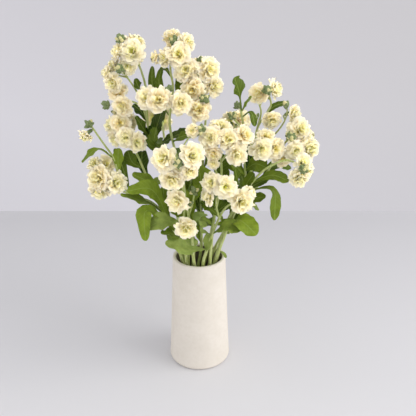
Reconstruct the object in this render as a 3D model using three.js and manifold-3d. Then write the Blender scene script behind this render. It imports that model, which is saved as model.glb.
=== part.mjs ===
// Cut spray stock (Matthiola incana) with double cream flowers, standing in a tapered ceramic vase.
// Millimetres. The origin is the centre of the vase's foot, +X is right, -Y faces the viewer, +Z is up.
import * as THREE from "three";
import { mergeVertices } from "three/addons/utils/BufferGeometryUtils.js";
import Module from "manifold-3d";

const wasm = await Module();
wasm.setup();

// Driving dimensions
const vaseHeight = 160;
const footRadius = 42.5;
const mouthRadius = 35.5;
const wall = 4.5;
const floorThickness = 8;
const footRounding = 5;
const vaseSegments = 30;
const waterLevel = 112;
const clearance = 0.35; // the gap that touching pieces keep
const restingGap = 0.45; // between the vase's inside and what it holds
const lipBevel = 1.2; // of the flat rim, on both its edges
const lipDepth = 2; // of that bevel outside
const innerLipDepth = 3; // and inside
const floorFillet = 7; // how far the vase's floor curves up into its wall

const stemRadius = 2.2; // at the cut end
const stemTipRadius = 1.1;
const longestStretch = 34; // of a faceted stem between two of its points
const standingRadius = 25; // the ring in the mouth that the stems pass through
const spiral = 100; // degrees that each stem turns round the vase from mouth to foot, so none cross
const shootRadius = 1.3;
const shootTipRadius = 0.9;
const pedicelRadius = 0.9;
const bentAbove = 26; // stalks longer than this are bent
const stalkBend = 0.4; // how far before the calyx a stalk bends, as a share of its length
const stalkDrop = 9; // how far below its calyx a stalk leaves the stem
const calyxRadius = 2.6;
const calyxLength = 7;
const calyxWaist = 0.7; // its width at the foot, as a share of that at the top
const calyxGap = 0.55; // between calyx and bloom
const budLength = 9;
const leafThickness = 1.5; // over the midrib
const smallestScrap = 60; // mm3: what a cut leaves loose below this is dropped
const stemSliver = 0.45; // detail finer than this is merged where green skins are joined
const petalSliver = 0.48; // and where blooms are
const cutSliver = 0.1; // and where either is cut, so that the clearance stays

const petalsInRow = 4;
const pointsPerPetal = 3; // a notch and the petal's two shoulders

// Materials
const ceramic = new THREE.MeshStandardMaterial({ color: 0xe9e4da, roughness: 0.85, metalness: 0 });
const clearWater = new THREE.MeshStandardMaterial({ color: 0xc8d4cf, roughness: 0.05, metalness: 0 });
const foliage = new THREE.MeshStandardMaterial({ color: 0x6f8f3c, roughness: 0.6, metalness: 0 });
const petal = new THREE.MeshStandardMaterial({ color: 0xf6efd6, roughness: 0.7, metalness: 0 });

// The sprays. standing is the angle in the vase's mouth, in degrees from +X towards the back.
// stem and shoots are points of their centre lines above the mouth; a shoot starts on the stem.
// A bloom is [x, y, z, diameter, turn, rise]: the middle of its face, and the way it looks, in degrees
// to the right of the viewer and above the horizon. A bud cluster is [x, y, z, count, turn, rise].
// A leaf is [start point, middle point, tip point, greatest width].
// Blooms of neighbouring sprays that press against each other share a head.
const sprays = {
  tall_left: {
    standing: 150,
    stem: [[-30, 14, 216], [-51, 15, 283], [-63, 15, 335], [-63, 15, 378], [-69, 15, 404], [-80, 15, 430]],
    shoots: [
      [[-63, 15, 339], [-74, 10, 377], [-83, 5, 394], [-89, 2, 404]],
      [[-63, 15, 351], [-76, 5, 365], [-93, 0, 368], [-104, 0, 364]],
    ],
    blooms: [
      [-76, 0, 426, 31, -5, 25],
      [-72, 20, 435, 28, 60, 45],
      [-96, 9, 424, 24, -80, 20],
      [-82, 2, 409, 24, 0, 0],
      [-110, 6, 400, 20, -75, 10],
      [-101, -2, 389, 25, -20, -5],
      [-102, 14, 408, 22, -60, 40],
      [-76, 30, 418, 28, 150, 15],
      [-97, 5, 380, 26, -30, 55],
    ],
    buds: [[-89, 14, 436, 5, -40, 50], [-90, -1, 405, 6, -10, 40], [-107, 0, 363, 4, -80, 10]],
    leaves: [
      [[-63, 15, 372], [-72, 10, 383], [-75, 10, 393], 10],
      [[-63, 15, 337], [-71, 17, 351], [-81, 20, 359], 12],
      [[-58, 15, 312], [-70, 10, 334], [-77, 10, 347], 12],
      [[-57, 15, 307], [-52, 20, 331], [-43, 22, 356], 20],
      [[-56, 15, 302], [-33, 9, 320], [-13, 3, 330], 17],
      [[-55, 15, 297], [-61, 12, 316], [-56, 10, 334], 18],
    ],
  },
  left_mass: {
    standing: 175,
    stem: [[-42, 4, 211], [-64, 0, 268], [-77, -2, 304], [-86, 0, 322], [-95, 2, 342]],
    shoots: [],
    blooms: [
      [-93, -9, 344, 26, 10, 25],
      [-107, 1, 338, 27, -50, 10],
      [-87, -16, 327, 27, 5, 5],
      [-102, -4, 321, 25, -35, -20],
      [-73, -16, 321, 27, 15, 5],
      [-99, 26, 332, 29, 165, 10],
      [-81, 21, 339, 26, 110, 15],
      [-90, -10, 364, 26, -5, 10],
    ],
    buds: [[-99, 4, 352, 3, -20, 60]],
    leaves: [
      [[-63, 1, 265], [-72, 12, 283], [-72, 20, 303], 14],
      [[-70, -1, 283], [-83, 4, 289], [-89, 8, 304], 14],
      [[-49, 3, 232], [-62, -5, 264], [-82, -13, 280], 15],
    ],
  },
  far_left: {
    standing: 200,
    stem: [
      [-34, -6, 205], [-59, -12, 241], [-85, -18, 255], [-98, -15, 279], [-105, -8, 300], [-117, -3, 317],
      [-130, 0, 337],
    ],
    shoots: [[[-85, -18, 255], [-100, -14, 260], [-112, -10, 267], [-118, -8, 276]]],
    blooms: [
      [-139, -2, 324, 21, -40, -45],
      [-122, -30, 281, 34, -20, 15],
      [-99, -28, 274, 30, 30, 10],
      [-129, -12, 293, 24, -40, 50],
      [-114, -9, 292, 25, 10, 25],
      [-123, -21, 258, 30, -10, -40],
      [-117, 6, 271, 32, 175, 5],
    ],
    buds: [[-132, 0, 338, 5, -30, 50]],
    leaves: [
      [[-105, -8, 299], [-121, -16, 313], [-140, -25, 299], 11],
      [[-98, -15, 280], [-99, -8, 298], [-98, -5, 311], 11],
      [[-84, -17, 256], [-94, -5, 284], [-104, 0, 309], 9],
      [[-47, -9, 224], [-64, -24, 246], [-94, -38, 262], 15],
      [[-40, -8, 213], [-59, -24, 264], [-86, -35, 266], 18],
      [[-36, -7, 210], [-44, 2, 234], [-46, 8, 256], 11],
    ],
  },
  top_centre: {
    head: "crown",
    standing: 105,
    stem: [
      [-14, 14, 228], [-27, 0, 297], [-34, -8, 341], [-32, -8, 365], [-29, -5, 385], [-32, 0, 405],
      [-29, 4, 428],
    ],
    shoots: [],
    blooms: [
      [-31, 17, 442, 24, -160, 50],
      [-11, -2, 436, 25, 50, 15],
      [-22, -15, 425, 30, 0, 20],
      [-39, -6, 419, 24, -40, 0],
      [-51, 1, 419, 17, -85, 0],
      [-28, 25, 423, 28, 165, 10],
      [-59, -26, 378, 28, -15, 20],
      [-44, -37, 378, 30, -5, 15],
      [-19, -36, 374, 28, 15, 15],
    ],
    buds: [[-26, 1, 436, 6, 0, 45], [-33, -18, 384, 3, -20, 30]],
    leaves: [
      [[-31, -2, 396], [-38, 6, 404], [-45, 12, 403], 6],
      [[-33, -8, 350], [-55, 16, 382], [-55, 20, 406], 8],
      [[-33, -8, 358], [-47, 14, 388], [-42, 18, 407], 8],
      [[-32, -8, 366], [-21, 8, 379], [-22, 12, 396], 12],
      [[-28, -1, 300], [-52, -11, 318], [-49, -18, 340], 18],
      [[-31, -4, 318], [-22, -22, 329], [4, -17, 336], 15],
      [[-17, 10, 243], [-8, 0, 268], [-4, -8, 292], 16],
    ],
  },
  upper_centre: {
    head: "crown",
    standing: 82,
    stem: [[2, 20, 215], [5, 10, 279], [8, 2, 332], [10, 0, 357], [8, 0, 379], [6, 5, 400]],
    shoots: [],
    blooms: [
      [-14, -13, 407, 31, -10, 15],
      [14, -7, 407, 31, 30, 15],
      [3, 23, 408, 28, 180, 40],
      [-6, -18, 384, 31, -10, 0],
      [20, -3, 386, 29, 40, 10],
      [1, -26, 364, 30, 0, 20],
      [8, 29, 389, 31, 170, 5],
    ],
    buds: [[3, 2, 411, 3, 0, 70], [7, -20, 374, 5, 20, 30]],
    leaves: [
      [[5, 11, 274], [16, 4, 306], [22, 2, 332], 15],
      [[3, 18, 222], [20, 10, 242], [34, 2, 262], 17],
      [[4, 14, 250], [-8, 20, 270], [-20, 22, 290], 15],
      [[2, 21, 210], [-9, 8, 237], [-19, 2, 258], 16],
      [[2, 20, 215], [10, 15, 238], [10, 14, 262], 16],
      [[2, 22, 165], [-4, 21, 188], [-5, 20, 212], 16],
    ],
  },
  back_left: {
    standing: 127,
    stem: [[-24, 40, 215], [-42, 60, 275], [-50, 70, 325], [-52, 73, 352]],
    shoots: [],
    blooms: [
      [-63, 80, 352, 29, -140, 25],
      [-45, 90, 345, 29, 170, 15],
      [-38, 72, 356, 28, 110, 40],
      [-68, 77, 329, 28, -125, 0],
      [-51, 91, 321, 28, 180, -10],
    ],
    buds: [[-53, 74, 360, 4, 180, 70]],
    leaves: [
      [[-26, 42, 221], [-52, 64, 238], [-86, 70, 236], 18],
      [[-36, 54, 256], [-30, 82, 276], [-20, 104, 278], 16],
      [[-42, 60, 274], [-72, 66, 296], [-98, 66, 300], 15],
      [[-28, 44, 228], [-26, 34, 256], [-18, 30, 284], 18],
    ],
  },
  back_right: {
    standing: 60,
    stem: [[24, 40, 215], [40, 58, 270], [48, 64, 310], [51, 68, 341]],
    shoots: [[[40, 58, 270], [60, 64, 288], [78, 62, 298]]],
    blooms: [
      [60, 74, 330, 28, 140, 25],
      [41, 82, 324, 30, -170, 15],
      [56, 55, 335, 26, 60, 50],
      [54, 85, 302, 30, 170, -10],
      [90, 66, 304, 28, 120, 20],
      [80, 77, 287, 28, 150, -10],
    ],
    buds: [[51, 68, 344, 3, 180, 70], [81, 60, 304, 3, 90, 60]],
    leaves: [
      [[28, 45, 227], [52, 66, 240], [84, 76, 232], 18],
      [[34, 52, 250], [22, 80, 268], [4, 98, 268], 16],
      [[26, 44, 222], [30, 30, 250], [34, 22, 280], 18],
    ],
  },
  right: {
    standing: 38,
    stem: [[49, 18, 213], [79, 14, 257], [98, 3, 298], [105, -8, 317], [109, -14, 326]],
    shoots: [[[98, 3, 298], [112, 5, 306], [122, 5, 316], [126, 3, 325]]],
    blooms: [
      [124, -11, 337, 31, 20, 25],
      [136, -15, 313, 33, 35, 0],
      [117, -25, 313, 27, 5, 0],
      [103, -15, 301, 26, 5, -5],
      [138, 7, 323, 27, 80, 15],
      [126, 23, 315, 30, 150, 10],
    ],
    buds: [[110, -19, 329, 7, 0, 40]],
    leaves: [
      [[60, 17, 228], [84, 42, 250], [112, 46, 250], 17],
      [[79, 14, 258], [98, 28, 276], [122, 34, 272], 15],
      [[52, 18, 217], [68, 4, 238], [86, -4, 246], 15],
      [[54, 18, 221], [60, 24, 246], [55, 26, 266], 16],
    ],
  },
  right_upper: {
    standing: 15,
    stem: [[44, 7, 218], [63, 6, 262], [71, 3, 304], [73, 9, 332], [82, 12, 347], [89, 12, 361], [86, 10, 372]],
    shoots: [
      [[73, 9, 332], [77, 10, 352], [74, 10, 363]],
      [[71, 3, 302], [80, 6, 310], [92, 7, 322], [102, 8, 334], [108, 10, 346], [109, 10, 356]],
      [[69, 3, 296], [73, -12, 308], [77, -20, 314]],
    ],
    blooms: [
      [75, -39, 320, 29, 5, 10],
      [93, -27, 316, 28, 20, 0],
      [81, -22, 331, 24, 0, 45],
      [72, 7, 376, 27, -30, 20],
      [95, 15, 380, 28, 70, 15],
      [90, 2, 343, 25, 0, -15],
      [119, 8, 350, 25, 55, -5],
    ],
    buds: [[83, 2, 379, 7, -10, 50], [108, 11, 358, 3, -40, 60], [72, 8, 345, 3, -40, 30]],
    leaves: [
      [[80, 11, 344], [92, 18, 356], [108, 24, 361], 8],
      [[66, 5, 280], [82, 22, 296], [92, 34, 316], 14],
      [[60, 6, 252], [66, 22, 280], [62, 28, 306], 16],
      [[64, 6, 266], [48, 10, 282], [38, 13, 298], 16],
    ],
  },
  right_leafy: {
    standing: -8,
    stem: [[38, -4, 213], [53, -12, 247], [59, -12, 263], [57, -8, 294], [55, 3, 337], [52, 5, 356]],
    shoots: [[[55, 3, 334], [46, 0, 343], [42, -1, 348]]],
    blooms: [],
    buds: [[42, -1, 349, 5, -30, 50]],
    leaves: [
      [[52, 5, 352], [50, 5, 373], [43, 1, 396], 21],
      [[52, 5, 354], [59, 1, 366], [64, -3, 374], 8],
      [[54, 4, 348], [63, 1, 354], [69, -4, 338], 8],
      [[57, -9, 282], [70, -16, 294], [83, -21, 291], 20],
      [[57, -9, 276], [46, -14, 290], [35, -16, 304], 18],
      [[58, -12, 256], [48, -26, 276], [44, -32, 294], 11],
      [[45, -8, 229], [60, -4, 236], [78, 2, 226], 14],
      [[52, -12, 245], [42, -14, 262], [38, -14, 278], 14],
      [[36, -3, 205], [24, -4, 224], [20, 0, 243], 16],
      [[32, -4, 188], [43, -9, 202], [55, -12, 212], 17],
    ],
  },
  arching: {
    standing: -30,
    stem: [
      [42, -20, 222], [60, -27, 265], [77, -30, 289], [93, -31, 300], [106, -31, 304], [118, -33, 300],
      [123, -35, 295],
    ],
    shoots: [],
    blooms: [
      [125, -38, 304, 24, 10, 30],
      [121, -41, 283, 27, 0, -20],
      [134, -32, 291, 21, 60, 0],
    ],
    buds: [[124, -42, 297, 6, 10, 10]],
    leaves: [
      [[66, -28, 274], [89, -32, 285], [109, -36, 279], 14],
      [[60, -27, 262], [91, -22, 263], [96, -26, 223], 13],
      [[60, -27, 266], [78, -14, 270], [88, -14, 275], 11],
      [[56, -26, 256], [60, -27, 273], [68, -29, 287], 12],
      [[37, -19, 210], [51, -42, 230], [71, -56, 217], 23],
    ],
  },
  centre_right: {
    standing: -55,
    stem: [[19, -24, 220], [27, -30, 271], [27, -38, 307], [21, -43, 326], [11, -50, 339]],
    shoots: [
      [[27, -37, 303], [37, -42, 320], [46, -44, 334]],
      [[27, -31, 275], [21, -46, 296], [18, -53, 304]],
    ],
    blooms: [
      [15, -61, 341, 28, -10, 20],
      [18, -63, 321, 22, -5, -25],
      [35, -63, 339, 27, 5, 20],
      [45, -66, 322, 28, 10, 0],
      [26, -45, 349, 27, 0, 45],
      [54, -57, 343, 25, 30, 30],
      [29, -24, 341, 30, 160, 25],
      [18, -61, 310, 15, -10, 10],
    ],
    buds: [[5, -56, 347, 5, -40, 40]],
    leaves: [
      [[26, -29, 262], [28, -22, 288], [30, -25, 310], 16],
      [[22, -27, 240], [15, -38, 255], [14, -45, 268], 14],
      [[20, -25, 226], [10, -22, 252], [8, -20, 276], 14],
      [[26, -29, 263], [8, -27, 284], [0, -26, 296], 13],
      [[20, -25, 229], [24, -18, 248], [32, -14, 266], 16],
      [[18, -24, 215], [6, -28, 227], [-3, -32, 234], 13],
    ],
  },
  low_right: {
    standing: -80,
    stem: [[20, -36, 216], [32, -52, 250], [40, -62, 262]],
    shoots: [[[26, -44, 233], [22, -58, 256], [22, -66, 276]]],
    blooms: [
      [32, -84, 290, 29, 5, 15],
      [15, -77, 293, 25, -20, 20],
      [10, -75, 275, 24, -70, 0],
      [51, -81, 270, 31, 10, 0],
      [61, -67, 277, 20, 50, 30],
    ],
    buds: [[22, -70, 279, 3, 0, 30]],
    leaves: [
      [[18, -34, 208], [37, -46, 224], [52, -54, 222], 20],
      [[17, -33, 204], [6, -42, 216], [0, -50, 234], 13],
      [[10, -30, 184], [-14, -54, 198], [-40, -60, 208], 18],
    ],
  },
  front_centre: {
    standing: -105,
    stem: [[-9, -40, 217], [-15, -64, 268], [-20, -82, 305], [-22, -90, 317]],
    shoots: [
      [[-14, -60, 260], [-17, -55, 300], [-17, -53, 325], [-9, -55, 340]],
      [[-12, -50, 238], [-6, -57, 260], [-4, -62, 274]],
    ],
    blooms: [
      [-37, -96, 327, 31, -25, 20],
      [-4, -99, 332, 30, 20, 20],
      [-8, -98, 313, 23, 10, -10],
      [-27, -95, 302, 30, -5, -15],
      [-6, -60, 348, 17, -20, 20],
    ],
    buds: [[-20, -98, 323, 5, 10, 35], [-4, -63, 276, 5, 0, 50]],
    leaves: [
      [[-13, -54, 248], [3, -44, 280], [0, -42, 302], 14],
      [[-8, -36, 207], [-13, -46, 256], [-24, -48, 278], 14],
      [[-10, -43, 224], [2, -52, 238], [2, -62, 250], 14],
    ],
  },
  low_left: {
    standing: -132,
    stem: [[-16, -34, 209], [-17, -50, 240], [-15, -60, 254]],
    shoots: [],
    blooms: [
      [-24, -80, 271, 29, -15, 10],
      [-14, -76, 234, 29, 0, 0],
    ],
    buds: [[-12, -68, 262, 3, 30, 20]],
    leaves: [
      [[-16, -38, 219], [-41, -45, 231], [-62, -50, 224], 18],
      [[-19, -28, 200], [-63, -42, 243], [-64, -58, 210], 16],
      [[-18, -27, 195], [-32, -42, 211], [-46, -47, 215], 18],
    ],
  },
};

const toRadians = THREE.MathUtils.degToRad;
const point = ([x, y, z]) => new THREE.Vector3(x, y, z);

// A random number source from a seed, so that every run is the same.
function seeded(seed) {
  let state = seed;
  return () => {
    state = (Math.imul(state ^ (state >>> 15), 2246822519) + 374761393) >>> 0;
    return ((state ^ (state >>> 13)) >>> 0) / 4294967296;
  };
}

// The direction that lies turn degrees to the viewer's right of -Y and rise degrees above the horizon.
function facing(turn, rise) {
  const [t, r] = [toRadians(turn), toRadians(rise)];
  return new THREE.Vector3(Math.sin(t) * Math.cos(r), -Math.cos(t) * Math.cos(r), Math.sin(r));
}

// A closed skin over rings of points. The first and last ring may be a single point, or a flat end.
// The quads between rings are split into triangles one way round, or, in a blade, alike on both its faces.
function skin(rings, isBlade = false) {
  const positions = rings.flat().flatMap((p) => [p.x, p.y, p.z]);
  const starts = rings.map((_, i) => rings.slice(0, i).reduce((sum, r) => sum + r.length, 0));
  const index = [];
  rings.slice(1).forEach((ring, i) => {
    const [low, high] = [rings[i], ring];
    const n = Math.max(low.length, high.length);
    const at = (k, j) => starts[k] + (rings[k].length === 1 ? 0 : j % n);
    for (let j = 0; j < n; j++) {
      const [a, b, c, d] = [at(i, j), at(i, j + 1), at(i + 1, j + 1), at(i + 1, j)];
      const otherWay = isBlade && j % 2 === 1;
      if (low.length > 1) index.push(a, b, otherWay ? c : d);
      if (high.length > 1) index.push(otherWay ? a : b, c, d);
    }
  });
  const last = rings.length - 1;
  const [foot, head] = [starts[0], starts[last]];
  for (let j = 1; j < rings[0].length - 1; j++) index.push(foot, foot + j + 1, foot + j);
  for (let j = 1; j < rings[last].length - 1; j++) index.push(head, head + j, head + j + 1);
  const geometry = new THREE.BufferGeometry();
  geometry.setAttribute("position", new THREE.Float32BufferAttribute(positions, 3));
  geometry.setIndex(index);
  return geometry;
}

// A skin without seams: points in the same place become one, and nothing else is kept.
function seamless(geometry) {
  const bare = geometry.clone();
  bare.deleteAttribute("normal");
  bare.deleteAttribute("uv");
  return mergeVertices(bare, 1e-4);
}

// The same skin with every point moved outwards by the clearance.
function swollen(geometry) {
  const grown = seamless(geometry);
  grown.computeVertexNormals();
  const [p, n] = [grown.attributes.position, grown.attributes.normal];
  for (let i = 0; i < p.count; i++) {
    p.setXYZ(
      i,
      p.getX(i) + n.getX(i) * clearance,
      p.getY(i) + n.getY(i) * clearance,
      p.getZ(i) + n.getZ(i) * clearance,
    );
  }
  return grown;
}

function toSolid(geometry) {
  const skinned = seamless(geometry);
  const mesh = new wasm.Mesh({
    numProp: 3,
    vertProperties: skinned.attributes.position.array,
    triVerts: new Uint32Array(skinned.index.array),
  });
  return new wasm.Manifold(mesh);
}

const joined = (solids) => solids.reduce((sum, solid) => sum.add(solid));

function toMesh(name, solid, material) {
  const made = solid.getMesh();
  const geometry = new THREE.BufferGeometry();
  geometry.setAttribute("position", new THREE.BufferAttribute(made.vertProperties.slice(), 3));
  geometry.setIndex(new THREE.BufferAttribute(made.triVerts.slice(), 1));
  geometry.computeVertexNormals();
  const mesh = new THREE.Mesh(geometry, material);
  mesh.name = name;
  return mesh;
}

// Rings of points round some centres, each square to its direction and not twisted against the last.
// A station is [centre, direction, radius].
function ringsRound(stations, sides) {
  const turn = new THREE.Quaternion();
  let from = new THREE.Vector3(0, 0, 1);
  return stations.map(([centre, direction, radius]) => {
    turn.premultiply(new THREE.Quaternion().setFromUnitVectors(from, direction));
    from = direction;
    return Array.from({ length: sides }, (_, j) => {
      const a = (2 * Math.PI * j) / sides;
      const out = new THREE.Vector3(radius * Math.cos(a), radius * Math.sin(a), 0);
      return out.applyQuaternion(turn).add(centre);
    });
  });
}

// A tube through the points of a centre line, thinning from one radius to the other, with flat ends.
function taperedTube(line, startRadius, endRadius, sides) {
  const last = line.length - 1;
  const stations = line.map((p, i) => {
    const direction = line[Math.min(i + 1, last)].clone().sub(line[Math.max(i - 1, 0)]).normalize();
    return [p, direction, startRadius + ((endRadius - startRadius) * i) / last];
  });
  return skin(ringsRound(stations, sides));
}

// A flower stalk: a thin stalk from the stem, bent if it is long, that widens into the calyx of a bloom.
// The calyx leans halfway between the way the bloom looks and the way up from the stem.
function pedicel(root, base, direction) {
  const lean = base.clone().sub(root).normalize().add(direction).normalize();
  const calyxFoot = base.clone().addScaledVector(lean, -calyxLength);
  const far = calyxFoot.distanceTo(root);
  const bend = calyxFoot.clone().addScaledVector(lean, -stalkBend * far);
  const curve = new THREE.QuadraticBezierCurve3(root, bend, calyxFoot);
  const middle = [curve.getPoint(0.5), curve.getTangent(0.5), pedicelRadius];
  const stations = [
    [root, curve.getTangent(0), pedicelRadius],
    ...(far > bentAbove ? [middle] : []),
    [calyxFoot, lean, calyxWaist * calyxRadius],
    [base, direction, calyxRadius],
  ];
  return skin(ringsRound(stations, 3));
}

// A double bloom, looking along +z from its base at the origin: rows of petals that share one skin.
// Each row goes out to a lobed, ruffled rim and back in to a crease, and the next row starts there.
// Reach and heights are shares of the bloom's radius.
const rows = [
  { reach: 1, notch: 0.26, height: 0.4, crease: 0.3, ruffle: 0.13, first: 0, turned: 0 },
  { reach: 0.68, notch: 0.34, height: 0.84, crease: 0, ruffle: 0.08, first: 2, turned: 0.5 },
];
const petalThickness = 1.1;
const centreHeight = 0.6;
const faceHeight = 0.6; // the height above its base that a bloom is measured at

function bloom(diameter, random) {
  const radius = diameter / 2;
  const n = petalsInRow * pointsPerPetal;
  const rings = [[new THREE.Vector3(0, 0, 0)]];
  for (const row of rows) {
    const sizes = Array.from({ length: petalsInRow }, () => 0.98 + 0.16 * random());
    const rim = Array.from({ length: n }, (_, j) => {
      const k = (j + row.first) % n;
      const inPetal = k % pointsPerPetal;
      const size = sizes[Math.floor(k / pointsPerPetal)];
      const r = radius * row.reach * (inPetal === 0 ? 1 - row.notch : size);
      const lift = inPetal === 1 ? row.ruffle : -row.ruffle;
      const a = (2 * Math.PI * (j + row.turned)) / n;
      return new THREE.Vector3(r * Math.cos(a), r * Math.sin(a), radius * (row.height + lift));
    });
    rings.push(rim);
    if (row.crease > 0) {
      const inward = (p) => {
        const share = (radius * row.crease) / Math.hypot(p.x, p.y);
        return new THREE.Vector3(p.x * share, p.y * share, p.z * share + petalThickness);
      };
      rings.push(rim.map(inward));
    }
  }
  rings.push([new THREE.Vector3(0, 0, radius * centreHeight)]);
  return skin(rings);
}

// A cluster of buds, which share one skin: an upright bud in the middle and the others leaning out round
// it, with a fold between each two. A short stalk runs from the stem up into it.
// Its heights and radii are shares of a bud's length, measured from where the buds meet.
const budSpread = { root: -0.25, tipRadius: 0.85, tipHeight: 0.55, foldRadius: 0.42, foldHeight: 0.3, top: 1.15 };
const budStalkRadius = 1.3;
const budStalkFoot = 2.5; // how far behind the cluster's middle its stalk leaves the stem
const budStalkSunk = 2.5; // and how far it runs into the cluster

function budCluster([x, y, z, count, turn, rise], places) {
  const direction = facing(turn, rise);
  const base = point([x, y, z]);
  const stalkEnd = base.clone().addScaledVector(direction, budStalkSunk);
  const stalkStart = nearest(places, base.clone().addScaledVector(direction, -budStalkFoot));
  const n = 2 * (count - 1);
  const ring = Array.from({ length: n }, (_, j) => {
    const isTip = j % 2 === 0;
    const r = budLength * (isTip ? budSpread.tipRadius : budSpread.foldRadius);
    const a = (2 * Math.PI * j) / n;
    return new THREE.Vector3(
      r * Math.cos(a),
      r * Math.sin(a),
      budLength * (isTip ? budSpread.tipHeight : budSpread.foldHeight),
    );
  });
  const onAxis = (share) => new THREE.Vector3(0, 0, budLength * share);
  const upright = new THREE.Quaternion().setFromUnitVectors(new THREE.Vector3(0, 0, 1), direction);
  const cluster = skin([[onAxis(budSpread.root)], ring, [onAxis(budSpread.top)]]);
  cluster.applyQuaternion(upright).translate(x, y, z);
  return [taperedTube([stalkStart, stalkEnd], budStalkRadius, budStalkRadius, 3), cluster];
}

// A leaf: a spoon-shaped blade along an arched midrib, folded a little, with waved margins.
const leafStations = [
  { at: 0, width: 0.1 },
  { at: 0.2, width: 0.36 },
  { at: 0.42, width: 0.82 },
  { at: 0.66, width: 1.2 },
  { at: 0.87, width: 1 },
];
const narrowLeaf = 17; // a leaf this narrow does without the station in its middle
const leafFold = 0.2;
const leafWave = 0.09;
const leafScallop = 0.05; // how much wider or narrower each station is in turn
const leafRoll = 0.7; // radians that a blade may be turned about its midrib
const leafTilt = 0.45; // of a blade's upper side towards the viewer
const facesBack = 45; // a leaf whose tip lies further back than this is turned away instead

function leaf(root, [, middle, tip, width], random) {
  const curve = new THREE.CatmullRomCurve3([root, point(middle), point(tip)]);
  const roll = (random() - 0.5) * leafRoll;
  const towards = new THREE.Vector3(0, Math.sign(tip[1] - facesBack) * leafTilt, 1).normalize();
  const stations = leafStations.filter((_, i) => width > narrowLeaf || i !== 2);
  const rings = stations.map(({ at, width: share }, i) => {
    const along = curve.getTangentAt(at);
    const centre = curve.getPointAt(at);
    const side = along.clone().cross(towards).normalize().applyAxisAngle(along, roll);
    const top = side.clone().cross(along).normalize();
    const inTurn = i % 2 ? 1 : -1;
    const half = (width / 2) * share * (1 + leafScallop * inTurn);
    const wave = leafWave * width * share * inTurn;
    const edge = (sign) =>
      centre.clone().addScaledVector(side, sign * half).addScaledVector(top, leafFold * half + sign * wave);
    return [
      edge(1),
      centre.clone().addScaledVector(top, -leafThickness / 2),
      edge(-1),
      centre.clone().addScaledVector(top, leafThickness / 2),
    ];
  });
  return skin([...rings, [point(tip)]], true);
}

// The one of some points that lies nearest to a target.
function nearest(points, target) {
  return points.reduce((best, p) => (p.distanceTo(target) < best.distanceTo(target) ? p : best));
}

// The main stem: straight from its foot to the mouth of the vase, then along its points.
function mainStem(spray) {
  const inMouth = toRadians(spray.standing);
  const onFloor = toRadians(spray.standing + spiral);
  const low = floorThickness + restingGap;
  const inRing = (a, z) => new THREE.Vector3(standingRadius * Math.cos(a), standingRadius * Math.sin(a), z);
  const foot = inRing(onFloor, low);
  const mouth = inRing(inMouth, vaseHeight);
  return { foot, curve: new THREE.CatmullRomCurve3([mouth, ...spray.stem.map(point)]) };
}

// The points of a curve that a faceted stem passes through: its own, and one between those far apart.
function faceted(curve) {
  const last = curve.points.length - 1;
  return curve.points.flatMap((p, i) => {
    const far = i < last && p.distanceTo(curve.points[i + 1]) > longestStretch;
    return far ? [p, curve.getPoint((i + 0.5) / last)] : [p];
  });
}

// Points every millimetre or two along a faceted stem, from which stalks and leaves may grow.
function growingPoints(line) {
  return line.slice(1).flatMap((end, i) => {
    const count = Math.ceil(line[i].distanceTo(end) / 2);
    return Array.from({ length: count }, (_, k) => line[i].clone().lerp(end, (k + 1) / count));
  });
}

// The skins of one spray, by kind.
function sprayParts(name, spray, random) {
  const { foot, curve } = mainStem(spray);
  const shoots = spray.shoots.map((points) => new THREE.CatmullRomCurve3(points.map(point)));
  const lines = [curve, ...shoots].map(faceted);
  const places = lines.flatMap(growingPoints);
  const stems = [taperedTube([foot, ...lines[0]], stemRadius, stemTipRadius, 4)];
  stems.push(...lines.slice(1).map((line) => taperedTube(line, shootRadius, shootTipRadius, 4)));
  const buds = spray.buds.flatMap((cluster) => budCluster(cluster, places));
  const stalks = [];
  const blooms = spray.blooms.map(([x, y, z, diameter, turn, rise]) => {
    const direction = facing(turn, rise);
    const base = point([x, y, z]).addScaledVector(direction, (-faceHeight * diameter) / 2);
    const calyxTop = base.clone().addScaledVector(direction, -calyxGap);
    const parting = calyxTop.clone().addScaledVector(direction, -calyxLength);
    parting.z -= stalkDrop;
    stalks.push(pedicel(nearest(places, parting), calyxTop, direction));
    const upright = new THREE.Quaternion().setFromUnitVectors(new THREE.Vector3(0, 0, 1), direction);
    const spin = new THREE.Quaternion().setFromAxisAngle(new THREE.Vector3(0, 0, 1), 2 * Math.PI * random());
    return bloom(diameter, random)
      .applyQuaternion(upright.multiply(spin))
      .translate(base.x, base.y, base.z);
  });
  const leaves = spray.leaves.map((l) => leaf(nearest(places, point(l[0])), l, random));
  return { name, head: spray.head ?? name, green: [...stems, ...stalks, ...buds, ...leaves], blooms };
}

// Pieces already in place, as solids grown by the clearance, with their boxes.
const placed = [];

function place(skins) {
  for (const geometry of skins) {
    const solid = toSolid(swollen(geometry));
    placed.push({ solid, box: solid.boundingBox() });
  }
}

function boxesMeet(a, b) {
  return [0, 1, 2].every((k) => a.min[k] < b.max[k] && b.min[k] < a.max[k]);
}

// Joins skins, cuts room for all that is in place, and gives the bodies left, largest first.
function fitted(skins, sliver) {
  const whole = joined(skins.map(toSolid)).asOriginal().simplify(sliver);
  const box = whole.boundingBox();
  const near = placed.filter((p) => boxesMeet(p.box, box));
  return near
    .reduce((cut, p) => cut.subtract(p.solid), whole)
    .asOriginal()
    .simplify(cutSliver)
    .decompose()
    .filter((body) => body.volume() > smallestScrap)
    .sort((a, b) => b.volume() - a.volume());
}

const outerRadius = (z) => mouthRadius + (footRadius - mouthRadius) * (1 - z / vaseHeight) ** 1.1;
const innerLevels = [80, 17]; // heights at which the inside of the wall has a ring of points
const floorEdge = outerRadius(innerLevels[1]) - wall - floorFillet;

function lathe(profile) {
  const points = profile.map(([r, z]) => new THREE.Vector2(r, z));
  return new THREE.LatheGeometry(points, vaseSegments).rotateX(Math.PI / 2);
}

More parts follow.
